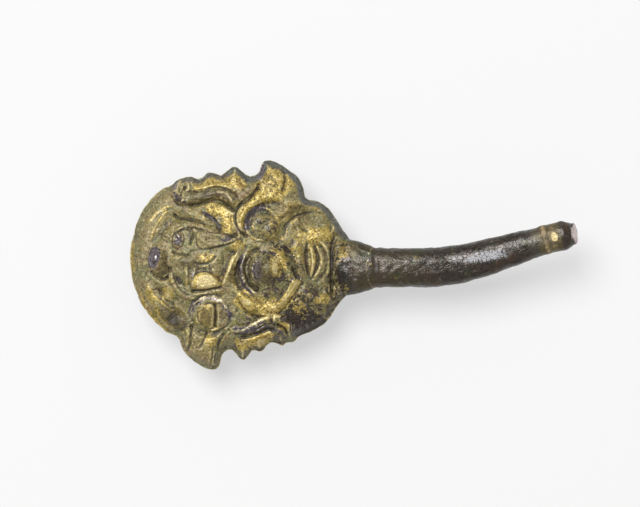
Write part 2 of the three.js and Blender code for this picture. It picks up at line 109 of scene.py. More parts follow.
def through(points, closed=False):
    """a smooth line through points"""
    points = np.array(points, float)
    count = len(points)
    line = []
    for i in range(count if closed else count - 1):
        b, c = points[i], points[(i + 1) % count]
        a = points[i - 1] if closed or i else 2 * b - c
        d = points[(i + 2) % count] if closed or i + 2 < count else 2 * c - b
        for t in (0, 0.2, 0.4, 0.6, 0.8):
            line.append((2 * b + (c - a) * t + (2 * a - 5 * b + 4 * c - d) * t ** 2
                         + (3 * b - a - 3 * c + d) * t ** 3) / 2)
    line.append(points[0] if closed else points[-1])
    return np.array(line)


def close_by(line, reach):
    """the front's places that a line can touch"""
    low, high = line.min(0) - reach, line.max(0) + reach
    return np.nonzero((px > low[0]) & (px < high[0]) & (py > low[1]) & (py < high[1]))[0]


def nearest(line, x, y):
    """distance to a line, the share of its length there, and the side"""
    lengths = np.hypot(*(line[1:] - line[:-1]).T)
    run = np.concatenate([[0], np.cumsum(lengths)])
    distance = np.full(x.shape, np.inf)
    share = np.zeros(x.shape)
    side = np.zeros(x.shape)
    for i, length in enumerate(lengths):
        ax, ay = line[i]
        dx, dy = line[i + 1] - line[i]
        t = np.clip(((x - ax) * dx + (y - ay) * dy) / max(length * length, 1e-12), 0, 1)
        ex, ey = x - ax - t * dx, y - ay - t * dy
        off = np.hypot(ex, ey)
        closer = off < distance
        distance[closer] = off[closer]
        share[closer] = ((run[i] + t * length) / run[-1])[closer]
        side[closer] = np.sign(dx * ey - dy * ex)[closer]
    return distance, share, side


def fading(share, start, end):
    ends = np.ones(share.shape)
    if start:
        ends = ends * smooth(0, start, share)
    if end:
        ends = ends * smooth(0, end, 1 - share)
    return ends


def ridge(points, width, rise, start=0.15, end=0.15, sharp=False, layer=carving):
    """a raised ridge along a line, or with a negative rise a groove"""
    line = through(points)
    ids = close_by(line, width)
    distance, share, _ = nearest(line, px[ids], py[ids])
    rest = np.clip(1 - (distance / width) ** 2, 0, 1)
    layer[ids] += rise * (np.sqrt(rest) if sharp else rest ** 2) * fading(share, start, end)


def cliff(points, fall, edge, reach):
    """the ground right of a line drops, and climbs back over a reach"""
    line = through(points)
    ids = close_by(line, reach)
    distance, share, side = nearest(line, px[ids], py[ids])
    drop = smooth(0, edge, distance) * (1 - smooth(edge, reach, distance)) * fading(share, 0.2, 0.2)
    carving[ids] -= fall * np.where(side < 0, drop, 0)


def boss(centre, sizes, rise, degrees=0, soft=False, layer=carving):
    """a domed oval; soft ones swell from the ground"""
    turn = math.radians(degrees)
    dx, dy = px - centre[0], py - centre[1]
    u = (dx * math.cos(turn) + dy * math.sin(turn)) / sizes[0]
    v = (dy * math.cos(turn) - dx * math.sin(turn)) / sizes[1]
    rest = np.clip(1 - u * u - v * v, 0, 1)
    layer[:] += rise * (rest ** 2 if soft else np.sqrt(rest))


def swell(centre, sizes, rise, degrees=0, layer=carving):
    boss(centre, sizes, rise, degrees, True, layer)


def cut(points, width, depth, start=0.12, end=0.12):
    """a chased line with straight sides"""
    line = through(points)
    ids = close_by(line, width)
    distance, share, _ = nearest(line, px[ids], py[ids])
    carving[ids] -= depth * np.clip(1 - distance / width, 0, 1) * fading(share, start, end)


# The rim and the hollow field inside it, on the left. The rim was cast smooth
# and has worn to a broad slope, with a soft lip round its inner side.
ridge([(-0.59, 0.57), (-0.7, 0.55), (-0.78, 0.5), (-0.85, 0.42), (-0.89, 0.3)], 0.025, 0.22)
ridge([(-0.63, 0.53), (-0.7, 0.49), (-0.76, 0.41), (-0.81, 0.32), (-0.85, 0.21)], 0.025, 0.28)
ridge([(-0.9, -0.15), (-0.85, -0.3), (-0.76, -0.43), (-0.65, -0.54)], 0.048, 0.16)
ridge([(-0.87, -0.18), (-0.81, -0.29), (-0.74, -0.37)], 0.023, 0.25)
ridge([(-0.74, -0.33), (-0.69, -0.39), (-0.61, -0.45)], 0.023, 0.3)
ridge([(-0.46, 0.48), (-0.57, 0.48), (-0.67, 0.42), (-0.74, 0.3), (-0.78, 0.18)], 0.067, -0.3)
ridge([(-0.78, -0.2), (-0.7, -0.33), (-0.61, -0.44), (-0.5, -0.5)], 0.057, -0.35)
cut([(-0.94, 0.24), (-0.89, 0.37), (-0.79, 0.5), (-0.67, 0.58)], 0.029, 0.16)
cut([(-0.95, -0.17), (-0.88, -0.36), (-0.76, -0.5)], 0.024, 0.2)
cliff([(-0.59, -0.42), (-0.67, -0.37), (-0.74, -0.3), (-0.79, -0.23)], 0.45, 0.024, 0.114)
swell((-0.69, -0.27), (0.086, 0.086), 0.5, -50)
swell((-0.62, -0.51), (0.086, 0.076), -0.5, -40)
swell((-0.5, -0.36), (0.076, 0.048), 0.4, -20)

# The toothed band above: a raised band cut off from the flange by a chased
# line, rolled over at its lower edge and curled at its left end.


def within(line, x, y):
    """whether places lie inside a closed line"""
    odd = np.zeros(x.shape, bool)
    for (ax, ay), (bx, by) in zip(line[:-1], line[1:]):
        if ay != by:
            odd ^= ((ay > y) != (by > y)) & (x < (bx - ax) * (y - ay) / (by - ay) + ax)
    return odd


def terrace(points, rise, slope):
    """a level field inside a closed line"""
    line = through(points, True)
    ids = close_by(line, slope)
    x, y = px[ids], py[ids]
    distance = nearest(line, x, y)[0]
    carving[ids] += rise * smooth(-slope, slope, np.where(within(line, x, y), distance, -distance))


terrace([(-0.62, 0.74), (-0.5, 0.9), (-0.27, 0.97), (-0.03, 1.02), (0.17, 0.91), (0.21, 0.78),
         (0.11, 0.64), (0.01, 0.54), (-0.12, 0.59), (-0.29, 0.6), (-0.46, 0.57), (-0.57, 0.6)],
        1, 0.03)
ridge([(-0.55, 0.65), (-0.46, 0.63), (-0.31, 0.66), (-0.18, 0.68), (-0.08, 0.63), (-0.01, 0.54)],
      0.062, 0.9, 0.05, 0.15, True)
cut([(-0.46, 0.69), (-0.33, 0.71), (-0.2, 0.74), (-0.09, 0.71), (0.02, 0.64)], 0.025, 0.75)
ridge([(-0.52, 0.59), (-0.59, 0.66), (-0.6, 0.74), (-0.56, 0.8), (-0.5, 0.81), (-0.46, 0.76),
       (-0.48, 0.7)], 0.048, 0.9, 0.05, 0.1)
swell((-0.51, 0.73), (0.029, 0.038), -0.6, -20)
cut([(-0.48, 0.83), (-0.45, 0.75), (-0.46, 0.68)], 0.021, 0.5)
ridge([(-0.51, 0.57), (-0.39, 0.58), (-0.26, 0.62), (-0.15, 0.6), (-0.08, 0.55), (-0.02, 0.5)],
      0.038, -1)
ridge([(-0.26, 0.58), (-0.16, 0.56), (-0.09, 0.52), (-0.03, 0.46)], 0.025, 0.5)
cut([(0.22, 0.89), (0.2, 0.78), (0.16, 0.7), (0.09, 0.63), (0.02, 0.57), (-0.02, 0.51)],
    0.029, 1, 0.35)
ridge([(-0.41, 0.77), (-0.27, 0.82), (-0.1, 0.81), (0.08, 0.75)], 0.067, -0.25)
swell((0.08, 0.67), (0.057, 0.038), 0.4, -40)

# The toothed band below: the same form turned half round, with its roll run out
# to the right and ending in a small curl.
terrace([(-0.1, -0.78), (0, -1), (0.23, -0.92), (0.45, -0.85), (0.61, -0.73), (0.6, -0.62),
         (0.5, -0.5), (0.34, -0.45), (0.21, -0.49), (0.08, -0.56), (-0.06, -0.54), (-0.13, -0.63)],
        0.9, 0.03)
ridge([(-0.07, -0.56), (0, -0.61), (0.1, -0.6), (0.18, -0.55), (0.25, -0.51), (0.32, -0.5)],
      0.048, 1, 0.1, 0.1, True)
ridge([(0.32, -0.5), (0.41, -0.52), (0.49, -0.58), (0.53, -0.66)], 0.048, 0.8, 0.1, 0.15, True)
ridge([(0.02, -0.69), (0.11, -0.68), (0.22, -0.64), (0.3, -0.61), (0.38, -0.64)], 0.038, -1)
ridge([(0.08, -0.65), (0.17, -0.63), (0.27, -0.58)], 0.019, 0.45)
cut([(0.14, -0.53), (0.23, -0.48), (0.32, -0.45), (0.43, -0.47)], 0.021, 0.5)
cut([(0.36, -0.57), (0.43, -0.6), (0.48, -0.66)], 0.029, 0.9)
swell((0.08, -0.75), (0.171, 0.067), -0.25, 10)

# The two flanges: flat raised fields that flow from the plate's edge down round
# the eyes beside them, with a few chased lines.
terrace([(0.2, 0.85), (0.21, 1), (0.29, 1.07), (0.51, 0.98), (0.64, 0.84), (0.7, 0.68),
         (0.62, 0.58), (0.48, 0.56), (0.36, 0.61), (0.25, 0.6), (0.11, 0.52), (0.05, 0.41),
         (0.04, 0.28), (-0.01, 0.3), (-0.03, 0.47), (0.06, 0.58), (0.19, 0.71)], 1.2, 0.03)
cut([(0.4, 0.92), (0.45, 0.83), (0.44, 0.74), (0.4, 0.68)], 0.029, 0.8)
ridge([(0.25, 0.75), (0.17, 0.62), (0.08, 0.52), (0.02, 0.41), (0.04, 0.3)], 0.057, 0.35)
terrace([(-0.57, -0.69), (-0.51, -0.6), (-0.39, -0.65), (-0.28, -0.69), (-0.16, -0.66),
         (-0.1, -0.59), (-0.12, -0.71), (-0.15, -0.83), (-0.13, -1.02), (-0.31, -1.06),
         (-0.51, -0.92), (-0.61, -0.76)], 1.1, 0.033)
cut([(-0.44, -0.55), (-0.45, -0.66), (-0.46, -0.76), (-0.5, -0.84)], 0.025, 0.7)
cut([(-0.54, -0.59), (-0.54, -0.68), (-0.51, -0.77)], 0.019, 0.4)
cut([(-0.44, -0.71), (-0.38, -0.79), (-0.32, -0.7), (-0.29, -0.62)], 0.019, 0.45)
swell((-0.38, -0.66), (0.048, 0.095), 0.35)
cut([(-0.24, -0.77), (-0.25, -0.87), (-0.27, -0.96)], 0.021, 0.5)
ridge([(-0.08, -0.59), (-0.14, -0.66), (-0.18, -0.74), (-0.2, -0.83)], 0.033, -0.7)

# The round eyes beside the flanges: each has a lip, a moat and a lens, and the
# lower lens is cut through by a crescent.
boss((0.23, 0.39), (0.171, 0.171), 0.6)
boss((0.23, 0.39), (0.148, 0.148), -0.9)
boss((0.25, 0.37), (0.124, 0.124), 0.8)
boss((-0.26, -0.47), (0.181, 0.167), 0.75)
boss((-0.25, -0.48), (0.143, 0.133), -1.1)
terrace([(-0.37, -0.4), (-0.3, -0.37), (-0.24, -0.38), (-0.23, -0.48), (-0.24, -0.59),
         (-0.31, -0.59), (-0.37, -0.52)], 0.9, 0.012)
boss((-0.22, -0.49), (0.11, 0.119), 0.55)
cut([(-0.22, -0.36), (-0.21, -0.48), (-0.22, -0.6)], 0.025, 0.9, 0.05, 0.05)

# The small face that looks left, modelled in the wax and chased after casting:
# a knob of a nose, a long muzzle, eyes under brows and pointed ears.
terrace([(-0.85, 0.07), (-0.76, 0.2), (-0.65, 0.33), (-0.5, 0.41), (-0.3, 0.39), (-0.1, 0.3),
         (0.03, 0.2), (-0.02, 0.03), (-0.13, -0.21), (-0.3, -0.29), (-0.48, -0.34),
         (-0.65, -0.26), (-0.78, -0.15), (-0.84, -0.06)], 0.75, 0.05)
swell((-0.77, 0.05), (0.114, 0.171), 1.6, -10)
swell((-0.8, 0.08), (0.076, 0.114), 0.4, -10)
swell((-0.72, -0.06), (0.076, 0.067), 0.7)
ridge([(-0.84, -0.03), (-0.78, -0.1), (-0.7, -0.13), (-0.65, -0.09), (-0.65, 0.01)], 0.029, -0.5)
ridge([(-0.85, -0.04), (-0.79, -0.11), (-0.71, -0.14), (-0.66, -0.1)], 0.029, -0.4)
ridge([(-0.69, 0.06), (-0.53, 0.05), (-0.36, 0.05), (-0.17, 0.03)], 0.095, 0.55, 0.2, 0.4)
boss((-0.57, 0.24), (0.052, 0.081), 0.95, -12)
ridge([(-0.65, 0.22), (-0.61, 0.3), (-0.54, 0.35), (-0.47, 0.35)], 0.029, 0.55)
ridge([(-0.71, 0.19), (-0.67, 0.31), (-0.57, 0.39), (-0.44, 0.4), (-0.3, 0.35), (-0.17, 0.3)],
      0.048, 0.5)
cut([(-0.63, 0.5), (-0.57, 0.45), (-0.46, 0.43), (-0.36, 0.41), (-0.29, 0.36)], 0.023, 0.75)
swell((-0.44, 0.5), (0.21, 0.076), 0.45, -12)
cut([(-0.45, 0.36), (-0.43, 0.28), (-0.46, 0.18)], 0.019, 0.4)
cut([(-0.64, 0.24), (-0.59, 0.31), (-0.51, 0.34), (-0.44, 0.32)], 0.017, 0.4)
cut([(-0.76, 0.31), (-0.72, 0.25), (-0.67, 0.21)], 0.015, 0.3)
terrace([(-0.39, 0.26), (-0.37, 0.31), (-0.27, 0.31), (-0.15, 0.3), (-0.02, 0.24), (-0.12, 0.2),
         (-0.25, 0.17), (-0.36, 0.17)], 0.85, 0.012)
ridge([(-0.33, 0.24), (-0.24, 0.24), (-0.13, 0.24)], 0.043, -0.35)
cliff([(0.03, 0.28), (-0.07, 0.23), (-0.15, 0.18)], 0.5, 0.019, 0.067)
cut([(-0.64, 0.13), (-0.55, 0.1), (-0.45, 0.1)], 0.021, 0.55)
cut([(-0.2, 0.1), (-0.25, 0.04), (-0.33, 0.01), (-0.43, 0.02)], 0.019, 0.45)
swell((-0.56, -0.14), (0.043, 0.076), -0.7, 35)
ridge([(-0.65, -0.01), (-0.64, -0.12), (-0.58, -0.24), (-0.49, -0.31), (-0.37, -0.3)], 0.034, 0.6)
ridge([(-0.5, 0.01), (-0.49, -0.1), (-0.5, -0.23)], 0.029, 0.5)
boss((-0.43, -0.11), (0.036, 0.105), 0.4)
terrace([(-0.44, -0.21), (-0.42, -0.12), (-0.37, -0.08), (-0.3, -0.07), (-0.23, -0.1),
         (-0.15, -0.18), (-0.24, -0.21), (-0.34, -0.23)], 0.95, 0.012)
cut([(-0.46, -0.25), (-0.34, -0.25), (-0.24, -0.23), (-0.13, -0.21)], 0.025, 0.7)
ridge([(-0.02, 0.12), (-0.07, 0.03), (-0.11, -0.08), (-0.16, -0.18)], 0.032, 0.65)
cliff([(0.02, 0.17), (-0.04, 0.04), (-0.1, -0.09), (-0.15, -0.23)], 1.1, 0.024, 0.143)
ridge([(-0.46, -0.36), (-0.36, -0.3), (-0.25, -0.28), (-0.13, -0.3)], 0.029, -0.4)

# Between the small face and the band above: a smooth rounded swelling, the
# cheek of the larger mask, set off by a groove on either side.
ridge([(-0.33, 0.55), (-0.22, 0.53), (-0.12, 0.48), (-0.1, 0.38), (-0.09, 0.28)],
      0.071, 0.5, 0.2, 0.1)
ridge([(-0.38, 0.51), (-0.29, 0.47), (-0.2, 0.39), (-0.16, 0.3)], 0.034, -0.45)
cut([(-0.03, 0.49), (-0.02, 0.4), (0.02, 0.33), (0.1, 0.26)], 0.023, 0.8)
swell((-0.02, 0.18), (0.086, 0.067), 0.35)

# The great eye of the larger mask: a domed ball in a deep socket, with worn
# crescents round it and a straight bar below.
swell((0.27, -0.07), (0.286, 0.267), 0.7)
swell((0.28, -0.03), (0.162, 0.171), 1.3)
boss((0.32, -0.01), (0.086, 0.114), 0.5, 10)
ridge([(0.23, 0.17), (0.12, 0.1), (0.09, -0.04), (0.12, -0.17), (0.23, -0.26)], 0.043, -0.9)
ridge([(0.13, 0.15), (0.05, 0.05), (0.03, -0.07), (0.08, -0.18), (0.18, -0.28), (0.29, -0.32)],
      0.034, 0.7)
cut([(0.09, 0.09), (0.07, -0.05), (0.11, -0.18), (0.19, -0.24)], 0.017, 0.5)
cut([(0.19, 0.11), (0.11, 0.03), (0.1, -0.08), (0.13, -0.18), (0.21, -0.24)], 0.017, 0.4)
cut([(0.01, 0.07), (0, -0.05), (0.03, -0.17), (0.11, -0.28)], 0.017, 0.35)
cut([(0.17, 0.03), (0.15, -0.07), (0.18, -0.16)], 0.015, 0.35)
ridge([(0.05, 0.1), (-0.01, -0.03), (-0.01, -0.14), (0.05, -0.26), (0.17, -0.34), (0.3, -0.38)],
      0.032, -0.8)
terrace([(-0.02, -0.25), (0.05, -0.25), (0.13, -0.3), (0.23, -0.33), (0.34, -0.36),
         (0.44, -0.33), (0.39, -0.4), (0.3, -0.46), (0.19, -0.47), (0.09, -0.42), (0.02, -0.35)],
        0.75, 0.025)
cut([(0, -0.33), (0.08, -0.44), (0.18, -0.49), (0.3, -0.48)], 0.023, 0.6)
ridge([(0.32, -0.46), (0.44, -0.34), (0.52, -0.22), (0.58, -0.1)], 0.043, 0.9, 0.15, 0.2, True)

# The great snout, which runs into the neck: a swollen ring, folds of skin, two
# cheeks and thin lips, closed off from the neck by a deep groove.
ridge([(0.25, 0.2), (0.3, 0.35), (0.42, 0.49), (0.56, 0.56), (0.7, 0.59), (0.84, 0.54),
       (0.94, 0.43)], 0.124, 1.15)
terrace([(0.46, 0.39), (0.59, 0.5), (0.74, 0.51), (0.88, 0.48), (0.93, 0.35), (0.9, 0.16),
         (0.59, 0.14), (0.44, 0.2)], 0.35, 0.03)
cut([(0.43, 0.24), (0.46, 0.38), (0.57, 0.47), (0.7, 0.5), (0.86, 0.49)], 0.024, 0.4)
ridge([(0.26, 0.17), (0.35, 0.14), (0.43, 0.06), (0.49, -0.07), (0.53, -0.21)], 0.048, 0.7)
ridge([(0.42, 0.2), (0.5, 0.09), (0.54, -0.05), (0.59, -0.18)], 0.034, -0.6)
swell((0.59, 0.03), (0.076, 0.229), 0.5, 8)
swell((0.78, 0.28), (0.162, 0.095), 0.8)
ridge([(0.58, -0.22), (0.69, -0.3), (0.8, -0.33), (0.9, -0.29)], 0.086, 0.7)
ridge([(0.66, 0.24), (0.65, 0.1), (0.66, -0.03), (0.68, -0.14)], 0.025, -0.6)
ridge([(0.69, 0.18), (0.72, 0.07), (0.71, -0.05), (0.68, -0.13)], 0.03, 0.9)
cut([(0.72, 0.2), (0.76, 0.07), (0.74, -0.05), (0.69, -0.15)], 0.021, 0.5)
ridge([(0.74, 0.19), (0.8, 0.07), (0.77, -0.05), (0.7, -0.15)], 0.025, 0.55)
cut([(0.77, 0.21), (0.84, 0.09), (0.83, -0.05), (0.73, -0.18)], 0.021, 0.45)
ridge([(0.78, 0.24), (0.86, 0.12), (0.87, -0.03), (0.8, -0.18)], 0.027, 0.6)
swell((1.05, -0.01), (0.352, 0.352), 2.1)
ridge([(0.94, 0.33), (0.9, 0.19), (0.89, 0.03), (0.9, -0.14), (0.9, -0.3), (0.89, -0.41)],
      0.04, -1.25)

# Nicks and scratches from use and from the ground, short and shallow, lie all
# over the plate. They are drawn by chance, from a fixed seed.
chance = np.random.default_rng(7)
nick_count = 260
nick_width = 0.014
nick_depth = 0.13
for x, y, turn, bend in zip(
        chance.uniform(-1, 1.05, nick_count), chance.uniform(-1, 1, nick_count),
        chance.uniform(0, math.pi, nick_count), chance.uniform(-0.6, 0.6, nick_count)):
    long = chance.uniform(0.02, 0.06)
    ridge([(x, y), (x + long * math.cos(turn), y + long * math.sin(turn)),
           (x + 2 * long * math.cos(turn + bend), y + 2 * long * math.sin(turn + bend))],
          nick_width, -nick_depth, 0.2, 0.2)

# The front takes its height from the casting's body and the carving on it. The
# outline is a turn in degrees and a reach for each station; teeth add to it.
edge_height = 1.1 * MM
body_height = 1.5 * MM
rim_rise = 0.8 * MM
rim_width = 2 * MM
crown_rise = 0.9 * MM
crown_middle = 0.2
bevel_width = 1.1 * MM
bevel_keeps = 0.3
neck_from, neck_to = 0.88, 0.92
outline_stations = [
    (0, 1.16), (11, 1.14), (17, 1.06), (24, 1.035), (31, 1.02), (38, 0.98), (44.6, 0.905),
    (50, 0.967), (56, 1.015), (63, 1.031), (70, 1.046), (75.4, 1.035), (77, 0.985), (77.6, 0.9),
    (82, 0.855), (90, 0.86), (100, 0.87), (113, 0.893), (115.5, 0.915), (118, 0.96), (126, 1),
    (129, 0.99), (137, 1.035), (147, 1.05), (160, 1.047), (175, 1.04), (190, 1.02), (205, 0.99),
    (221, 0.945), (231, 0.905), (236, 0.96), (244, 1.008), (252, 1.033), (257.6, 1.02),
    (259.4, 0.97), (260, 0.86), (263, 0.815), (270, 0.812), (281, 0.83), (292, 0.803), (298, 0.84),
    (304, 0.88), (311, 0.901), (319, 0.95), (326, 1), (336, 1.02), (343, 1.055), (348, 1.14)]
teeth = [(92, 0.09, 8), (107.5, 0.06, 6.5), (272.6, 0.115, 6), (285.4, 0.045, 4.5),
         (298.6, 0.045, 3), (305.5, 0.025, 3.5)]
outline = through([
    (reach * math.cos(math.radians(degrees)), reach * math.sin(math.radians(degrees)))
    for degrees, reach in outline_stations], True)
outline_turn = np.degrees(np.arctan2(outline[:, 1], outline[:, 0]))
outline_reach = np.hypot(outline[:, 0], outline[:, 1])
for degrees, rise, half in teeth:
    off = np.abs((outline_turn - degrees + 540) % 360 - 180)
    outline_reach += rise * np.clip(1 - off / half, 0, 1)
outline = np.stack([outline_reach * np.cos(np.radians(outline_turn)),
                    outline_reach * np.sin(np.radians(outline_turn))], 1)
inset = nearest(outline, px, py)[0] * plate_radius
height = body_height + rim_rise * smooth(0, rim_width, inset)
height += crown_rise * np.clip(1 - (px - crown_middle) ** 2 - py ** 2, 0, 1) ** 2
height += carve_height * carving
bevel = bevel_keeps + (1 - bevel_keeps) * smooth(0, bevel_width, inset)
height = edge_height + (height - edge_height) * bevel
fine_z = plate_back[front_ids] + height
old_z = places[front_ids, 2]
keep = smooth(neck_from, neck_to, px) * smooth(0.15 * MM, 0.4 * MM, old_z - fine_z)
places[front_ids, 2] = fine_z + (old_z - fine_z) * keep

# The arm, cast on from the snout: an oval bar that bends to the side and rises
# to the stub of its head, which is broken off. Its section loses the solid's
# flats here. Places along it are shares of its length.
arm_root = 12.3 * MM
arm_length = 33.8 * MM
arm_side = 0.36 * MM
arm_sway = 5.1 * MM
arm_level = 2.2 * MM
arm_arch = 0.5 * MM
tip_rise = 2.9 * MM
sway_from, sway_to = 0.37, 1.1
rise_from, rise_to = 0.4, 1.02
neck_width, arm_width, tip_width = 8.4 * MM, 5.6 * MM, 4.3 * MM
neck_depth, arm_depth, tip_depth = 3.9 * MM, 4.4 * MM, 3.7 * MM
flare_end, thin_end = 0.22, 0.3
narrow_from, shallow_from, taper_end = 0.45, 0.3, 0.88
collar_at, collar_groove = 0.16, 0.16 * MM
head_step = 0.1 * MM
ring_at, ring_rise = 0.875, 0.1 * MM
block_rise = 0.06 * MM
break_from, break_taper, solid_taper = 0.945, 0.3, 0.42
break_lean = 0.2
section_power = 2 / 0.85
underside = 0.86


def arm_centre(share):
    rise = arm_arch * np.sin(math.pi * share) + tip_rise * smooth(rise_from, rise_to, share)
    return np.stack([arm_root + arm_length * share,
                     arm_sway * smooth(sway_from, sway_to, share) - arm_side,
                     plate_middle.z - plate_camber + arm_level + rise], 1)


def arm_frame(share):
    """the directions along, across and up the arm"""
    along = arm_centre(share + 0.005) - arm_centre(share - 0.005)
    along /= np.linalg.norm(along, axis=1)[:, None]
    across = np.stack([-along[:, 1], along[:, 0], np.zeros(len(along))], 1)
    across /= np.linalg.norm(across, axis=1)[:, None]
    return along, across, np.cross(along, across)


def dot(a, b):
    return (a * b).sum(1)


arm_ids = np.nonzero(places[:, 0] > arm_root + 1.0 * MM)[0]
at = (places[arm_ids, 0] - arm_root) / arm_length
for _ in range(4):
    along, across, up = arm_frame(at)
    at = at + dot(places[arm_ids] - arm_centre(at), along) / arm_length
along, across, up = arm_frame(at)
off = places[arm_ids] - arm_centre(at)
sideways, upward = dot(off, across), dot(off, up)
flare = (neck_width - arm_width) * (1 - smooth(0, flare_end, at))
narrowing = (arm_width - tip_width) * smooth(narrow_from, taper_end, at)
half_width = (arm_width + flare - narrowing) / 2
thin = (arm_depth - neck_depth) * (1 - smooth(0, thin_end, at))
shallowing = (arm_depth - tip_depth) * smooth(shallow_from, taper_end, at)
half_depth = (arm_depth - thin - shallowing) / 2


def band(middle, half):
    """a soft ring round the arm"""
    return np.clip(1 - ((at - middle) / half) ** 2, 0, 1) ** 2


swelling = -collar_groove * band(collar_at, 0.022) - head_step * smooth(0.79, 0.81, at)
swelling += ring_rise * band(ring_at, 0.02) + block_rise * smooth(0.93, 0.94, at)
broken = 1 - break_taper * smooth(break_from, 1, at)
half_width = (half_width + swelling) * broken
half_depth = (half_depth + swelling) * broken
half_depth *= np.where(upward < 0, underside, 1)
reach = ((np.abs(sideways) / half_width) ** section_power
         + (np.abs(upward) / half_depth) ** section_power) ** (1 / section_power)
on_side = smooth(0.03, 0.07, at) * (1 - smooth(0.98, 0.99, at)) * (reach > 0.6)
trim = 1 + (1 / np.maximum(reach, 0.5) - 1) * on_side
at_break = smooth(0.985, 0.995, at)
trim += at_break * ((1 - break_taper) / (1 - solid_taper) - 1)
moved = (sideways * (trim - 1))[:, None] * across + (upward * (trim - 1))[:, None] * up
moved -= (break_lean * upward * smooth(break_from, 1, at))[:, None] * along
places[arm_ids] += moved

# Wear and dirt go by how proud or deep a place lies beside its neighbours, and so do
# painted highlight on proud places and painted shade in deep ones, so values are
# spread over the mesh's edges, a round at a time.
edges = np.array([[edge.verts[0].index, edge.verts[1].index] for edge in form.edges])
count = len(places)
degree = np.bincount(edges.ravel(), minlength=count).astype(float)


def spread(values, rounds):
    """each round draws a value halfway to its neighbours' mean"""
    for _ in range(rounds):
        near_sum = np.bincount(edges[:, 0], values[edges[:, 1]], count)
        near_sum += np.bincount(edges[:, 1], values[edges[:, 0]], count)
        values = 0.5 * values + 0.5 * near_sum / degree
    return values


# Rubbing on cloth has flattened what stood proud on the front, and centuries in
# the ground have left the bronze's skin softly lumpy, with shallow furrows.
wear_spares = 0.03 * MM
wear_takes = 0.75
wear_rounds = 70
above = places[:, 2] - spread(places[:, 2], wear_rounds)
worn = np.where(above > wear_spares, wear_takes * (above - wear_spares), 0)
on_plate = 1 - smooth(0.95, 1.05, px)
places[front_ids, 2] -= worn[front_ids] * on_plate * smooth(0.8 * MM, 1.5 * MM, inset)
lumps = np.zeros(count)
furrow_half = 0.035
floor_clearing = 0.4 * MM
for size, rise in ((2.4 * MM, 0.09 * MM), (1.1 * MM, 0.065 * MM), (0.55 * MM, 0.045 * MM)):
    lumps += rise * np.array([noise.noise(Vector(place) / size) for place in places])
for size, deep in ((4.1 * MM, 0.05 * MM), (2.3 * MM, 0.045 * MM)):
    wander = np.array([noise.noise(Vector(place) / size, noise_basis="PERLIN_NEW")
                       for place in places])
    lumps -= deep * np.exp(-(wander / furrow_half) ** 2)
normals = np.array([vert.normal for vert in form.verts])
lumps *= smooth(0, floor_clearing, places[:, 2])
places += normals * lumps[:, None]
for vert, place in zip(form.verts, places):
    vert.co = place
form.normal_update()
normals = np.array([vert.normal for vert in form.verts])


def depth_below(rounds):
    """how deep each place lies under the ground round it"""
    ground = np.stack([spread(places[:, axis], rounds) for axis in range(3)], 1)
    return dot(ground - places, normals)


fine_rounds, fine_step = 10, 0.03 * MM
broad_rounds, broad_step = 160, 0.25 * MM
fine_depth = depth_below(fine_rounds) / fine_step
broad_depth = depth_below(broad_rounds) / broad_step
# recess darkens what lies deep below its ground: partly dirt, partly painted shade in the hollows.
recess = np.clip(0.6 * np.clip(fine_depth, 0, 2) + 0.22 * np.clip(broad_depth, 0, 2), 0, 1)
# proud marks what stands out; it whitens crests and adds gold to them, partly wear and partly
# painted highlight.
proud = np.zeros(count)
proud[front_ids] = np.clip(-0.8 * fine_depth[front_ids] - 0.35, 0, 1) * on_plate
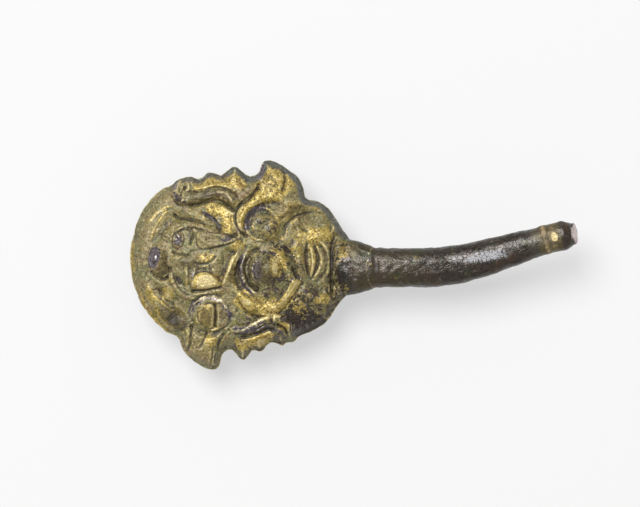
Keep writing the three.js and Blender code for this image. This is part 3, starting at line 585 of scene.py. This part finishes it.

# Dark seams lie beside the chased lines, partly dirt set in them and partly painted
# shade, and the crests are pale, partly rubbed by cloth and partly painted highlight.
# Both are drawn as lines over what the depth gives.
streak_width = 0.017
seam_dark = 0.85
crest_highlight = 1.1
seams_and_shade = np.zeros(len(front_ids))
for points in (
        [(-0.62, 0.47), (-0.5, 0.43), (-0.31, 0.38)], [(-0.34, 0.51), (-0.24, 0.45), (-0.18, 0.36)],
        [(-0.15, 0.59), (-0.07, 0.55), (-0.02, 0.5), (-0.02, 0.39), (0.03, 0.32), (0.1, 0.25)],
        [(-0.74, 0.3), (-0.69, 0.27), (-0.63, 0.25)],
        [(-0.61, 0.27), (-0.54, 0.34), (-0.46, 0.36), (-0.31, 0.33)],
        [(-0.37, 0.3), (-0.19, 0.3), (-0.01, 0.25), (-0.15, 0.19), (-0.36, 0.17)],
        [(-0.46, 0.32), (-0.45, 0.19)],
        [(-0.63, -0.03), (-0.6, -0.15), (-0.53, -0.25), (-0.41, -0.3)],
        [(-0.44, -0.1), (-0.31, -0.06), (-0.15, -0.18)],
        [(-0.46, -0.24), (-0.27, -0.23), (-0.14, -0.2)], [(-0.41, 0), (-0.32, 0.01), (-0.25, 0)],
        [(-0.39, -0.04), (-0.31, -0.03), (-0.24, -0.04)],
        [(-0.07, -0.5), (-0.11, -0.58), (-0.23, -0.63), (-0.34, -0.6)],
        [(-0.44, -0.57), (-0.45, -0.7), (-0.48, -0.82)],
        [(-0.23, -0.76), (-0.22, -0.87), (-0.25, -1)],
        [(-0.2, -0.77), (-0.17, -0.7), (-0.1, -0.63)],
        [(-0.57, -0.64), (-0.48, -0.56), (-0.39, -0.5)],
        [(0.2, 0.75), (0.1, 0.63), (0.01, 0.54), (-0.02, 0.45), (0, 0.33), (0.09, 0.24)],
        [(0.43, 0.9), (0.44, 0.8), (0.41, 0.71)],
        [(0.09, 0.31), (0.08, 0.43), (0.14, 0.52), (0.25, 0.55)],
        [(-0.46, 0.68), (-0.31, 0.7), (-0.19, 0.72), (-0.07, 0.69)],
        [(-0.5, 0.58), (-0.36, 0.59), (-0.25, 0.6)],
        [(-0.08, -0.61), (0.02, -0.66), (0.13, -0.62), (0.27, -0.56), (0.4, -0.58), (0.5, -0.65)],
        [(0.02, -0.35), (0.09, -0.44), (0.19, -0.49), (0.32, -0.48)],
        [(0.64, 0.22), (0.63, 0.09), (0.65, -0.05), (0.7, -0.17)],
        [(0.88, 0.18), (0.89, 0.03), (0.85, -0.14)],
        [(0.43, 0.26), (0.48, 0.41), (0.59, 0.49), (0.72, 0.5)],
        [(0.08, 0.1), (0.05, -0.03), (0.08, -0.15), (0.15, -0.25)],
        [(0.13, 0.09), (0.1, -0.05), (0.14, -0.17)],
        [(-0.69, -0.5), (-0.63, -0.55), (-0.57, -0.56)],
        [(-0.76, -0.26), (-0.72, -0.34), (-0.66, -0.39)]):
    ridge(points, streak_width, seam_dark, 0.1, 0.1, layer=seams_and_shade)
# Two patches of painted shadow: right of and below the nose's knob, and in the hollow at the lower
# left.
swell((-0.7, -0.07), (0.067, 0.057), 0.8, layer=seams_and_shade)
swell((-0.61, -0.51), (0.162, 0.105), 0.95, -40, layer=seams_and_shade)
recess[front_ids] = np.clip(recess[front_ids] + seams_and_shade, 0, 1)
# crest lines: pale, partly rubbed by cloth and partly painted highlight
crests_and_highlights = np.zeros(len(front_ids))
for points in (
        [(-0.03, 0.1), (-0.06, 0.03), (-0.1, -0.08), (-0.15, -0.18)],
        [(-0.45, -0.5), (-0.43, -0.39), (-0.31, -0.3), (-0.18, -0.32), (-0.09, -0.44)],
        [(-0.1, -0.62), (0.02, -0.63), (0.15, -0.56), (0.29, -0.5), (0.42, -0.49)],
        [(-0.22, 0.7), (-0.11, 0.68), (-0.05, 0.61)], [(-0.54, 0.82), (-0.58, 0.74), (-0.55, 0.66)],
        [(0.18, 0.73), (0.08, 0.62), (0, 0.5), (0.01, 0.37), (0.08, 0.28)],
        [(0.58, -0.11), (0.51, -0.24), (0.4, -0.39)], [(-0.84, 0.41), (-0.77, 0.49), (-0.68, 0.54)],
        [(-0.79, 0.3), (-0.74, 0.4), (-0.68, 0.48)],
        [(-0.4, -0.21), (-0.29, -0.21), (-0.18, -0.19)],
        [(-0.2, -0.39), (-0.19, -0.49), (-0.21, -0.58)],
        [(0.69, 0.14), (0.71, 0.03), (0.69, -0.11)]):
    ridge(points, streak_width, crest_highlight, 0.1, 0.1, layer=crests_and_highlights)
proud[front_ids] = np.clip(proud[front_ids] + crests_and_highlights, 0, 1.2)

# An olive and brown stain from the ground, which lies over the gilding in places and
# dulls it, and over the arm's root and head. Three patches, beside and below the nose's
# knob and in the hollow at the lower left, are painted shadow, not stain.


def lay(layer, swells=(), ridges=()):
    """adds soft patches and lines to one layer of the front"""
    for centre, *how in swells:
        swell(centre, *how, layer=layer)
    for points, *how in ridges:
        ridge(points, *how, layer=layer)


stain_and_shadow_front = np.zeros(len(front_ids))
lay(stain_and_shadow_front, swells=[
    ((-0.44, 0.03), (0.19, 0.114), 0.9), ((0.62, 0.41), (0.19, 0.248), 0.45, -30),
    ((-0.3, -0.49), (0.124, 0.152), 0.9), ((-0.16, -0.49), (0.095, 0.133), 0.9),
    ((-0.04, -0.09), (0.086, 0.19), 0.9, 15), ((-0.54, 0.72), (0.095, 0.124), 0.5),
    ((0.3, 0.79), (0.19, 0.21), 0.5), ((-0.15, 0.83), (0.324, 0.095), 0.3, 6),
    # painted shadow: the next two patches, right of and below the nose's knob
    ((-0.71, -0.06), (0.095, 0.086), 2.4), ((-0.7, 0.05), (0.048, 0.133), 0.9),
    # painted shade: the next patch, in the hollow at the lower left
    ((-0.61, -0.5), (0.21, 0.124), 2.2, -40), ((0.27, -0.05), (0.152, 0.21), 0.7),
    ((1.09, 0.14), (0.133, 0.114), 0.5), ((0.05, 0.7), (0.133, 0.086), 0.6),
    ((0.8, 0.26), (0.133, 0.076), 0.3), ((0.51, 0.5), (0.248, 0.114), 0.6, 20),
    ((-0.5, 0.28), (0.229, 0.076), 0.35)], ridges=[
    ([(-0.5, 0.64), (-0.31, 0.65), (-0.17, 0.67), (-0.05, 0.59)], 0.067, 0.8)])
stain_and_shadow = np.zeros(count)
stain_and_shadow[front_ids] = stain_and_shadow_front
short_of_break = 1 - smooth(0.93, 0.95, at)
stain_and_shadow[arm_ids] += 0.7 * smooth(0.8, 0.88, at) * short_of_break
stain_and_shadow[arm_ids] += 0.32 * smooth(0.02, 0.08, at) * (1 - smooth(0.3, 0.45, at))

# The fire gilding, a thin skin of gold burnt on with mercury. Sheltered faces
# have kept it, the arm only flecks of it, and the back never had it.
gilt_front = np.full(len(front_ids), 0.38)
lay(gilt_front, swells=[
    ((0.33, 0.77), (0.21, 0.238), 1.0), ((0.5, 0.78), (0.114, 0.114), 0.35),
    ((0, 0.19), (0.114, 0.076), 0.55), ((-0.68, -0.29), (0.114, 0.114), 0.55),
    ((-0.57, -0.47), (0.152, 0.114), 0.35), ((-0.3, -0.15), (0.21, 0.114), 1.2),
    ((-0.32, 0.07), (0.152, 0.067), 0.6), ((-0.31, -0.48), (0.105, 0.143), 0.75),
    ((-0.04, -0.1), (0.086, 0.229), 0.3, 15), ((0.39, 0.03), (0.095, 0.19), 0.75),
    ((0.38, 0.28), (0.152, 0.152), 0.15), ((0.51, 0.44), (0.114, 0.057), 0.45),
    ((0.78, 0.29), (0.19, 0.114), 0.6), ((0.8, -0.33), (0.114, 0.067), 0.7),
    ((0.62, 0.24), (0.21, 0.324), 0.3), ((0.56, -0.38), (0.21, 0.114), 0.3, -40),
    ((1.03, 0.13), (0.105, 0.124), 0.3), ((0.22, -0.73), (0.114, 0.067), 0.8, 15),
    ((0.44, -0.58), (0.086, 0.067), 0.5), ((0.35, -0.03), (0.067, 0.143), 0.8, 10),
    ((-0.27, -0.71), (0.095, 0.152), 0.4), ((1.02, -0.08), (0.124, 0.114), -0.5)], ridges=[
    ([(-0.44, 0.74), (-0.31, 0.78), (-0.12, 0.81), (0.1, 0.77)], 0.114, 0.62, 0.05, 0.1),
    ([(0.25, 0.7), (0.12, 0.56), (0.04, 0.45), (0.04, 0.31)], 0.086, 0.7),
    ([(-0.33, 0.55), (-0.21, 0.52), (-0.11, 0.47), (-0.1, 0.37), (-0.09, 0.26)], 0.095, 0.6),
    ([(-0.59, 0.57), (-0.7, 0.55), (-0.78, 0.5), (-0.85, 0.42), (-0.89, 0.3)], 0.029, 0.2),
    ([(-0.63, 0.53), (-0.7, 0.49), (-0.76, 0.41), (-0.81, 0.32), (-0.85, 0.21)], 0.029, 0.2),
    ([(-0.9, -0.17), (-0.84, -0.33), (-0.74, -0.5), (-0.6, -0.64)], 0.057, 0.3),
    ([(-0.87, -0.18), (-0.81, -0.29), (-0.74, -0.37)], 0.029, 0.3),
    ([(-0.97, -0.16), (-0.9, -0.36), (-0.79, -0.53), (-0.65, -0.66)], 0.025, 0.4),
    ([(-0.74, -0.33), (-0.69, -0.39), (-0.61, -0.45)], 0.029, 0.4),
    ([(-0.99, 0.24), (-1.02, 0.09), (-0.99, -0.1)], 0.038, 0.42),
    ([(-0.02, 0.13), (-0.07, 0.03), (-0.11, -0.08), (-0.16, -0.18)], 0.057, 0.4),
    ([(-0.01, -0.27), (0.07, -0.34), (0.17, -0.4), (0.29, -0.42), (0.4, -0.37)],
     0.114, 1.8, 0.1, 0.1),
    ([(0.3, 0.31), (0.45, 0.49), (0.59, 0.56), (0.72, 0.58), (0.88, 0.52)], 0.095, 0.25),
    ([(0.59, -0.14), (0.46, -0.33), (0.33, -0.46)], 0.067, 0.9),
    ([(0.7, 0.19), (0.72, 0.07), (0.7, -0.05), (0.68, -0.13)], 0.043, 0.6),
    ([(-0.06, -0.76), (0.08, -0.76), (0.23, -0.7), (0.36, -0.64)], 0.081, 0.65)])
gilt = np.zeros(count)
gilt[front_ids] = gilt_front


def arm_patches(patches):
    """oval patches on the arm: place and size in mm, and strength"""
    total = np.zeros(len(arm_ids))
    for x, y, long, wide, strength in patches:
        off = np.hypot((places[arm_ids, 0] - x * MM) / (long * MM),
                       (places[arm_ids, 1] - y * MM) / (wide * MM))
        total += strength * np.clip(1 - off ** 2, 0, 1)
    return total


flecks = 0.08 + 0.1 * smooth(0.84, 0.87, at) * short_of_break
flecks += (places[arm_ids, 2] > plate_middle.z) * arm_patches([
    (13.6, 2.3, 1.7, 1.9, 0.4), (13.3, -3.9, 1.1, 1, 0.7), (23.4, 1.1, 1.9, 0.4, 0.5),
    (21.3, 0.4, 1.1, 0.4, 0.5), (20.7, -2, 1.1, 0.4, 0.6), (20, -3.1, 2.9, 0.4, 0.5),
    (16.9, 0.1, 0.6, 0.4, 0.9), (19.4, 0.3, 1.1, 0.4, 0.6), (17.7, 1.9, 0.4, 1.1, 0.35),
    (25.4, -1, 4.3, 1.1, 0.1), (43.6, 3.6, 1.1, 2, 0.35)])
on_arm = smooth(0.02, 0.08, at)
gilt[arm_ids] = gilt[arm_ids] * (1 - on_arm) + flecks * on_arm
gilt = np.clip(gilt, 0, 1.1)

# The khaki film of corrosion that covers the bare bronze, mostly on the small
# face; it is missing at the lower right and on the neck.
film_front = np.full(len(front_ids), 0.5)
lay(film_front, swells=[
    ((-0.55, 0), (0.905, 1.048), 1.2), ((-0.3, -0.76), (0.324, 0.362), 0.6),
    ((0.67, -0.58), (0.305, 0.171), -1.5, -25), ((0.76, 0.03), (0.229, 0.286), 0.4),
    ((0.67, 0.48), (0.457, 0.457), 0.6), ((1.03, -0.07), (0.124, 0.21), -0.9),
    ((0.05, 0.7), (0.152, 0.114), 0.7)])
film = np.full(count, 0.3)
film[front_ids] = np.clip(film_front, 0, 1)
greened = 0.14 + 0.12 * smooth(0.77, 0.83, at) * short_of_break
film[arm_ids] = film[arm_ids] * (1 - on_arm) + greened * on_arm

# The bevel round the plate's edge, worn through to slate grey metal, most of all
# above; a trace of the same grey lies on the arm's head.
slate_front = (1 - smooth(0.5 * MM, 1.1 * MM, inset)) * (0.35 + 0.6 * smooth(-0.1, 0.5, py))
slate_front *= 0.3 + 0.7 * smooth(-0.75, -0.3, px)
swell((-0.27, 0.67), (0.267, 0.067), 0.35, 6, layer=slate_front)
swell((-0.95, 0.03), (0.133, 0.571), 0.3, layer=slate_front)
slate = np.full(count, 0.2)
slate[arm_ids] += 0.2 * smooth(0.78, 0.84, at) * short_of_break
slate[front_ids] = np.clip(slate_front, 0, 1)

# Purple-black tarnish that shines, on what hands rubbed most: the knob of the
# nose, the rolled edges, and the rims of the eyes. Two of its lines are painted
# shade: the upper eye's inner wall at its upper left, and the underside of the
# lower band's roll.
tarnish_and_shade_front = np.zeros(len(front_ids))
lay(tarnish_and_shade_front, swells=[
    ((-0.8, 0.07), (0.086, 0.162), 1.9, -10), ((-0.28, 0.66), (0.086, 0.057), 1.0),
    ((-0.1, 0.66), (0.086, 0.048), 0.7), ((-0.57, 0.24), (0.076, 0.105), 1.1),
    ((-0.11, 0.25), (0.114, 0.057), 0.8), ((-0.43, -0.11), (0.057, 0.133), 0.6),
    ((-0.57, -0.14), (0.048, 0.076), 0.8, 35), ((0.19, -0.05), (0.124, 0.21), 0.8),
    ((0.65, -0.58), (0.286, 0.152), 0.35, -20), ((0.9, 0.03), (0.057, 0.248), 0.6)], ridges=[
    ([(-0.02, 0.12), (-0.07, 0.03), (-0.11, -0.08), (-0.16, -0.18)], 0.043, 0.9),
    ([(-0.44, -0.54), (-0.44, -0.41), (-0.36, -0.33), (-0.27, -0.3), (-0.17, -0.35),
      (-0.08, -0.47), (-0.09, -0.56)], 0.052, 0.85),
    ([(-0.07, -0.57), (0, -0.62), (0.1, -0.6), (0.18, -0.55), (0.27, -0.5)], 0.057, 0.9),
    # painted shade under the lower band's roll
    ([(0.02, -0.65), (0.13, -0.63), (0.25, -0.59), (0.36, -0.62), (0.48, -0.68)], 0.048, 0.6),
    ([(-0.46, 0.58), (-0.57, 0.63), (-0.61, 0.73), (-0.54, 0.81)], 0.052, 0.6),
    ([(0.24, 0.98), (0.22, 0.89), (0.2, 0.79)], 0.048, 0.9),
    # painted shade on the upper eye's inner wall at its upper left
    ([(0.08, 0.3), (0.09, 0.46), (0.16, 0.53), (0.29, 0.55)], 0.048, 1.2),
    ([(0.11, 0.12), (0.03, 0.03), (0.02, -0.1), (0.08, -0.22), (0.19, -0.3)], 0.057, 0.8),
    ([(-0.36, 0.51), (-0.28, 0.47), (-0.19, 0.39), (-0.16, 0.31)], 0.038, 0.8),
    ([(0.65, 0.24), (0.65, 0.1), (0.66, -0.03), (0.69, -0.15)], 0.038, 0.4)])
tarnish_and_shade = np.full(count, 0.15)
tarnish_and_shade[front_ids] = np.clip(tarnish_and_shade_front, 0, 1.1)

# A grey mineral bloom, crazed into cells, lies along the top of the arm; it is partly
# bloom and partly a painted reflection of the softbox, put where the arm's highlight
# falls. A pale line where the neck meets the collar is partly rubbed and partly
# painted highlight.
bloom_and_highlight = np.zeros(count)
bloom_and_highlight[arm_ids] = (upward > 0) * arm_patches([
    (30, 0.7, 2.3, 0.9, 0.55), (32.9, 1.1, 2.7, 1, 0.85), (35.1, 1.6, 2, 0.9, 0.85)])
proud[arm_ids] += 0.66 * band(0.122 + 0.03 * (sideways / half_width) ** 2, 0.011)

# The stub of the head, with a tan crust, a pale worn eye and the bare metal of the
# break; on the plate's faces that catch the most light, pale gold is partly real
# and partly a painted highlight.
eye_at, eye_side = 0.912, 0.1 * MM
eye_long, eye_wide = 0.46 * MM, 0.78 * MM
crust = np.zeros(count)
crust[arm_ids] = band(0.874, 0.016) + 0.75 * band(0.905, 0.035)
eye_off = np.hypot((at - eye_at) * arm_length / eye_long, (sideways - eye_side) / eye_wide)
pale = np.zeros(count)
pale_and_highlight_front = np.zeros(len(front_ids))
lay(pale_and_highlight_front, swells=[
    ((-0.3, -0.15), (0.181, 0.105), 1.2), ((0.22, -0.73), (0.105, 0.057), 0.75, 15),
    ((0.08, -0.35), (0.114, 0.086), 0.75, -30), ((-0.67, -0.29), (0.086, 0.105), 0.65),
    ((0.35, -0.03), (0.057, 0.133), 0.85, 10)], ridges=[
    ([(0.59, -0.1), (0.51, -0.24), (0.39, -0.4)], 0.038, 0.5),
    ([(-0.59, 0.57), (-0.7, 0.55), (-0.78, 0.5), (-0.85, 0.42), (-0.89, 0.3)], 0.023, 0.48),
    ([(-0.63, 0.53), (-0.7, 0.49), (-0.76, 0.41), (-0.81, 0.32), (-0.85, 0.21)], 0.023, 0.48),
    ([(-0.5, 0.8), (-0.55, 0.76), (-0.55, 0.7), (-0.5, 0.64)], 0.038, 0.5),
    ([(-0.87, -0.18), (-0.81, -0.29), (-0.74, -0.37)], 0.025, 0.45)])
pale[front_ids] = pale_and_highlight_front
pale[arm_ids] = 1.3 * (1 - smooth(0.7, 1.1, eye_off)) * (upward > 0)
bare = np.zeros(count)
bare[arm_ids] = smooth(0.6, 0.8, dot(normals[arm_ids], arm_frame(at)[0])) * smooth(0.984, 0.99, at)

arm_share = np.zeros(count)
arm_share[arm_ids] = on_arm
for name, values in (
        ("arm", arm_share), ("gilding", gilt), ("film", film), ("slate", slate), ("recess", recess),
        ("proud", proud), ("tarnish_and_shade", tarnish_and_shade), ("stain_and_shadow", stain_and_shadow), ("bloom_and_highlight", bloom_and_highlight),
        ("crust", crust), ("pale", pale), ("bare", bare)):
    layer_of = form.verts.layers.float.new(name)
    for vert, value in zip(form.verts, values):
        vert[layer_of] = value

form.to_mesh(skin)
form.free()
hook = bpy.data.objects.new("hook_casting", skin)
bpy.context.scene.collection.objects.link(hook)
skin.shade_smooth()


def paint(hex_colour):
    """an sRGB hex colour turned to linear"""
    shades = [int(hex_colour[i:i + 2], 16) / 255 for i in (1, 3, 5)]
    return tuple(c / 12.92 if c < 0.04045 else ((c + 0.055) / 1.055) ** 2.4 for c in shades) + (1,)


# Cast bronze with worn fire gilding. To the eye: pitted deep yellow gold where
# sheltered, a dull khaki and green film where it has gone, dark glossy tarnish
# on knobs and rolled edges, near-black bronze on the arm, brown dirt in the cuts.
# Some layers carry painted light too: painted shade in cuts and hollows, painted
# highlights on crests and bright faces, and a painted reflection along the arm.
gilded = bpy.data.materials.new("worn_fire_gilded_bronze")
gilded.use_nodes = True
tree = gilded.node_tree
shader = tree.nodes["Principled BSDF"]


def add(kind, inputs=(), out=0, **settings):
    """adds a node with its settings; an input is a number, a hex colour or an output"""
    node = tree.nodes.new("ShaderNode" + kind)
    for name, value in settings.items():
        setattr(node, name, value)
    for socket, value in dict(inputs).items():
        if isinstance(value, bpy.types.NodeSocket):
            tree.links.new(value, node.inputs[socket])
        else:
            node.inputs[socket].default_value = paint(value) if isinstance(value, str) else value
    return node.outputs[out]


# Patterns by the size in mm of what they stand for: stretches of patina, blotches,
# speckle, the gilding's pin pricks (really about 0.05 mm, drawn at 0.26 to show),
# dents, and grit in the cast skin (really 0.1 mm, drawn at 0.32 to show).
where = add("TexCoord", out="Object")
broad, mottle, speckle, dust, dents, grit = [
    add("MapRange", {"From Min": 0.3, "From Max": 0.7, "Value": add("TexNoise", {
        "Vector": where, "Scale": 1 / (size_mm * MM), "Detail": detail, "Roughness": 0.6,
        "Distortion": distortion})})
    for size_mm, detail, distortion in (
        (3.5, 3, 0.3), (1.3, 3, 0.5), (0.5, 2, 0.4), (0.26, 1, 0), (0.7, 1, 0.3), (0.32, 0, 0))]

# Cracks in the film 1.6 mm apart, and the bloom's cells of 0.55 mm, both on
# places bent by up to 0.4 mm so that they wander.
bend = 0.4 * MM
drift = add("TexNoise", {"Vector": where, "Scale": 1 / (0.9 * MM), "Detail": 2}, "Color")
bent = add("VectorMath", {0: drift, 1: (bend, bend, bend), 2: where}, operation="MULTIPLY_ADD")
crazing, cells = [
    add("MapRange", {"From Min": width, "From Max": 0.0, "Value": add(
        "TexVoronoi", {"Vector": bent, "Scale": 1 / (size_mm * MM)}, feature="DISTANCE_TO_EDGE")})
    for size_mm, width in ((1.6, 0.04), (0.55, 0.16))]
crazing = add("Math", {0: crazing, 1: mottle}, operation="MULTIPLY")
(gilding_value, film_value, slate_value, recess_value, proud_value, tarnish_and_shade_value, stain_and_shadow_value,
 crust_value, pale_value, bare_value, arm_value, bloom_and_highlight_value) = [
    add("Attribute", out="Fac", attribute_name=name)
    for name in ("gilding", "film", "slate", "recess", "proud", "tarnish_and_shade", "stain_and_shadow", "crust", "pale",
                 "bare", "arm", "bloom_and_highlight")]

# Each finish has two ground colours that one pattern mixes, and marks of other
# colours where a pattern passes from the first value to the second.
mark_strength = 0.85
colours = {}
for name, ground, marks in (
        ("bronze", ("#171311", "#453b32", mottle), (
            ("#6a6158", 0.75, 1.0, mottle), ("#0d0b0a", 0.5, 0.05, speckle),
            ("#37402f", 0.65, 1.0, broad), ("#48362a", 0.35, 0.05, broad))),
        ("khaki", ("#716e49", "#8f7f56", broad), (
            ("#586540", 0.48, 0.05, mottle), ("#b3a678", 0.6, 1.0, speckle),
            ("#856a47", 0.7, 1.0, mottle), ("#4a4030", 0.32, 0.0, dust))),
        ("slate", ("#3d3f3a", "#74756a", speckle), (("#55564a", 0.6, 0.9, mottle),)),
        ("tarnish_and_shade", ("#383133", "#968d93", speckle), (
            ("#4c4244", 0.5, 0.9, dust), ("#1d191a", 0.35, 0.0, mottle))),
        ("gold", ("#a68e42", "#cbb468", speckle), (
            ("#dec98a", 0.62, 1.0, mottle), ("#7d7035", 0.42, 0.1, mottle),
            ("#8d6c35", 0.75, 1.0, broad), ("#6b5029", 0.35, 0.1, dust))),
        ("stain_and_shadow", ("#352c1c", "#6e6236", speckle), (("#5a3f24", 0.6, 0.9, mottle),)),
        ("fresh", ("#b59f99", "#e2d5cf", speckle), ())):
    low_colour, high_colour, pattern = ground
    colour = add("Mix", {"Factor": pattern, 6: low_colour, 7: high_colour}, 2, data_type="RGBA")
    for mark, low, high, pattern in marks:
        amount = add("MapRange", {
            "Value": pattern, "From Min": low, "From Max": high, "To Max": mark_strength})
        colour = add("Mix", {"Factor": amount, 6: colour, 7: mark}, 2, data_type="RGBA")
    colours[name] = colour

# Each finish shows where its layer outweighs the patterns: a list of what counts
# for it, with its weight. The two last numbers set how hard its edge is.
masks = {}
for name, weights, low, high in (
        ("film", ((film_value, 1), (speckle, -0.5), (mottle, -0.5)), -0.2, 0.15),
        ("slate", ((slate_value, 1), (speckle, -0.2), (gilding_value, -0.15)), 0.0, 0.8),
        # This tarnish mask also carries painted shade in two places.
        ("tarnish_and_shade", ((tarnish_and_shade_value, 1), (speckle, -0.45), (mottle, -0.5)), -0.12, 0.2),
        ("gold", ((gilding_value, 1), (proud_value, 0.2), (recess_value, -0.3),
                  (slate_value, -0.35), (tarnish_and_shade_value, -0.35), (dust, -0.35), (speckle, -0.4),
                  (mottle, -0.4)), -0.12, 0.1),
        # This stain mask also carries painted shadow by the nose and in the lower left hollow.
        ("stain_and_shadow", ((stain_and_shadow_value, 1), (speckle, -0.4), (mottle, -0.35)), -0.25, 0.3),
        # This bloom mask is partly a painted reflection of the softbox on the arm.
        ("bloom_and_highlight", ((bloom_and_highlight_value, 1), (cells, -0.55), (speckle, -0.4)), -0.1, 0.65),
        ("specks", ((dust, -1), (grit, -0.5), (gilding_value, 0.15)), -0.6, -0.25),
        # This crest mask is partly wear, partly painted highlight on edges.
        ("crest_and_highlight", ((proud_value, 1), (speckle, 0.4)), 0.6, 1.3),
        # This mask is partly cracks and dirt, partly painted shade in the recesses.
        ("dirt_and_shade", ((recess_value, 1), (speckle, 0.45), (crazing, 0.45), (gilding_value, -0.15)),
         0.65, 1.25),
        # On the plate this pale mask is partly a painted highlight.
        ("pale", ((pale_value, 1), (dust, -0.4), (grit, -0.3), (mottle, -0.2)), 0.0, 0.3),
        ("crust", ((crust_value, 1), (speckle, -0.6), (mottle, -0.5)), 0.0, 0.8)):
    total = 0.0
    for value, weight in weights:
        total = add("Math", {0: value, 1: weight, 2: total}, operation="MULTIPLY_ADD")
    masks[name] = add("MapRange", {"Value": total, "From Min": low, "From Max": high},
                      interpolation_type="SMOOTHSTEP")
for name, most in (("stain_and_shadow", 0.75), ("specks", 0.5), ("dirt_and_shade", 0.85), ("crest_and_highlight", 0.7)):
    masks[name] = add("Math", {0: masks[name], 1: most}, operation="MULTIPLY")

# The finishes lie over the bronze one on another, in this order, each with its
# colour, how metallic it is and how rough.
surface, metal, dull = colours["bronze"], 0.3, 0.24
for mask, colour, metallic, roughness in (
        (masks["film"], colours["khaki"], 0.15, 0.48),
        (masks["slate"], colours["slate"], 0.3, 0.42),
        (masks["tarnish_and_shade"], colours["tarnish_and_shade"], 0.6, 0.26),
        (masks["gold"], colours["gold"], 0.42, 0.46),
        # Partly painted light: the stain, tarnish and dirt hold painted shade, the bloom's grey a
        # painted reflection, and the pale and crest colours painted highlights.
        (masks["stain_and_shadow"], colours["stain_and_shadow"], 0.25, 0.42), (masks["bloom_and_highlight"], "#9fa0a4", 0.1, 0.5),
        (masks["pale"], "#dac78d", 0.15, 0.42), (masks["specks"], "#453724", 0.2, 0.5),
        (masks["crest_and_highlight"], "#c9ba88", 0.35, 0.4), (masks["dirt_and_shade"], "#2a211c", 0.1, 0.5),
        (masks["crust"], "#9a835e", 0.0, 0.6), (bare_value, colours["fresh"], 0.2, 0.42)):
    surface = add("Mix", {"Factor": mask, 6: surface, 7: colour}, 2, data_type="RGBA")
    metal = add("Mix", {"Factor": mask, 2: metal, 3: metallic}, 0, data_type="FLOAT")
    dull = add("Mix", {"Factor": mask, 2: dull, 3: roughness}, 0, data_type="FLOAT")

# The skin is pitted by the ground and crazed, up to 0.05 mm deep; the arm has
# little of the pits and all of the cells.
pit_depth = 0.05 * MM
cells = add("Math", {0: cells, 1: arm_value}, operation="MULTIPLY")
grit = add("Mix", {"Factor": arm_value, 2: grit, 3: 0.5}, 0, data_type="FLOAT")
smoother = add("Math", {0: arm_value, 1: 0.6}, operation="MULTIPLY")
dents = add("Mix", {"Factor": smoother, 2: dents, 3: 0.5}, 0, data_type="FLOAT")
pits = 0.0
for pattern, weight in ((dents, 0.6), (grit, 0.35), (crazing, -0.4), (cells, -0.25)):
    pits = add("Math", {0: pattern, 1: weight, 2: pits}, operation="MULTIPLY_ADD")
uneven = add("Bump", {"Strength": 1.0, "Distance": pit_depth, "Height": pits})
for socket, value in (
        ("Base Color", surface), ("Metallic", metal), ("Roughness", dull), ("Normal", uneven)):
    tree.links.new(value, shader.inputs[socket])
skin.materials.clear()
skin.materials.append(gilded)
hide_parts("garment_hook")
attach(hook, "root")

# The floor is a large sheet of matt white paper under the hook. It glows a little
# of itself, as paper lit from all round does, so that shadows stay soft and pale.
floor_size = 1.5
floor_form = bmesh.new()
bmesh.ops.create_grid(floor_form, x_segments=1, y_segments=1, size=floor_size)
floor_mesh = bpy.data.meshes.new("floor")
floor_form.to_mesh(floor_mesh)
floor_form.free()
floor = bpy.data.objects.new("floor", floor_mesh)
bpy.context.scene.collection.objects.link(floor)
paper = bpy.data.materials.new("matt_white_paper")
paper.use_nodes = True
sheet = paper.node_tree.nodes["Principled BSDF"].inputs
sheet["Base Color"].default_value = (0.35, 0.35, 0.35, 1)
sheet["Roughness"].default_value = 0.9
sheet["Emission Color"].default_value = (1, 1, 1, 1)
sheet["Emission Strength"].default_value = 0.5
floor_mesh.materials.append(paper)

# The light is an even white studio and one round softbox, above and behind the
# hook and a little to its left.
world = bpy.data.worlds.new("studio")
bpy.context.scene.world = world
world.use_nodes = True
studio = world.node_tree.nodes["Background"].inputs
studio["Color"].default_value = (1, 1, 1, 1)
studio["Strength"].default_value = 0.45
lamp = bpy.data.lights.new("softbox", "AREA")
lamp.shape = "DISK"
lamp.size = 0.6
lamp.energy = 10.6
softbox = bpy.data.objects.new("softbox", lamp)
softbox.location = (-0.26, 0.35, 0.97)
softbox_aim = Vector((0.01, 0, 0.01))
softbox.rotation_euler = (softbox_aim - softbox.location).to_track_quat("-Z", "Y").to_euler()
bpy.context.scene.collection.objects.link(softbox)

# The camera looks straight down, as far off as makes 7 pixels of the photograph
# a millimetre on the hook, with the hook's origin at its place in the picture.
photo_width = 640
photo_height = 507
pixels_per_mm = 7
origin_pixel = (252, 265)
lens = 200
sensor = 36
focus_height = 9.5 * MM
camera_data = bpy.data.cameras.new("camera")
camera_data.lens = lens
camera_data.sensor_width = sensor
camera_data.clip_start = 0.01
camera_data.clip_end = 10
camera = bpy.data.objects.new("camera", camera_data)
seen_width = photo_width / pixels_per_mm * MM
camera.location = ((photo_width / 2 - origin_pixel[0]) / pixels_per_mm * MM,
                   (origin_pixel[1] - photo_height / 2) / pixels_per_mm * MM,
                   focus_height + seen_width * lens / sensor)
bpy.context.scene.collection.objects.link(camera)
bpy.context.scene.camera = camera
bpy.context.scene.view_settings.view_transform = "Standard"
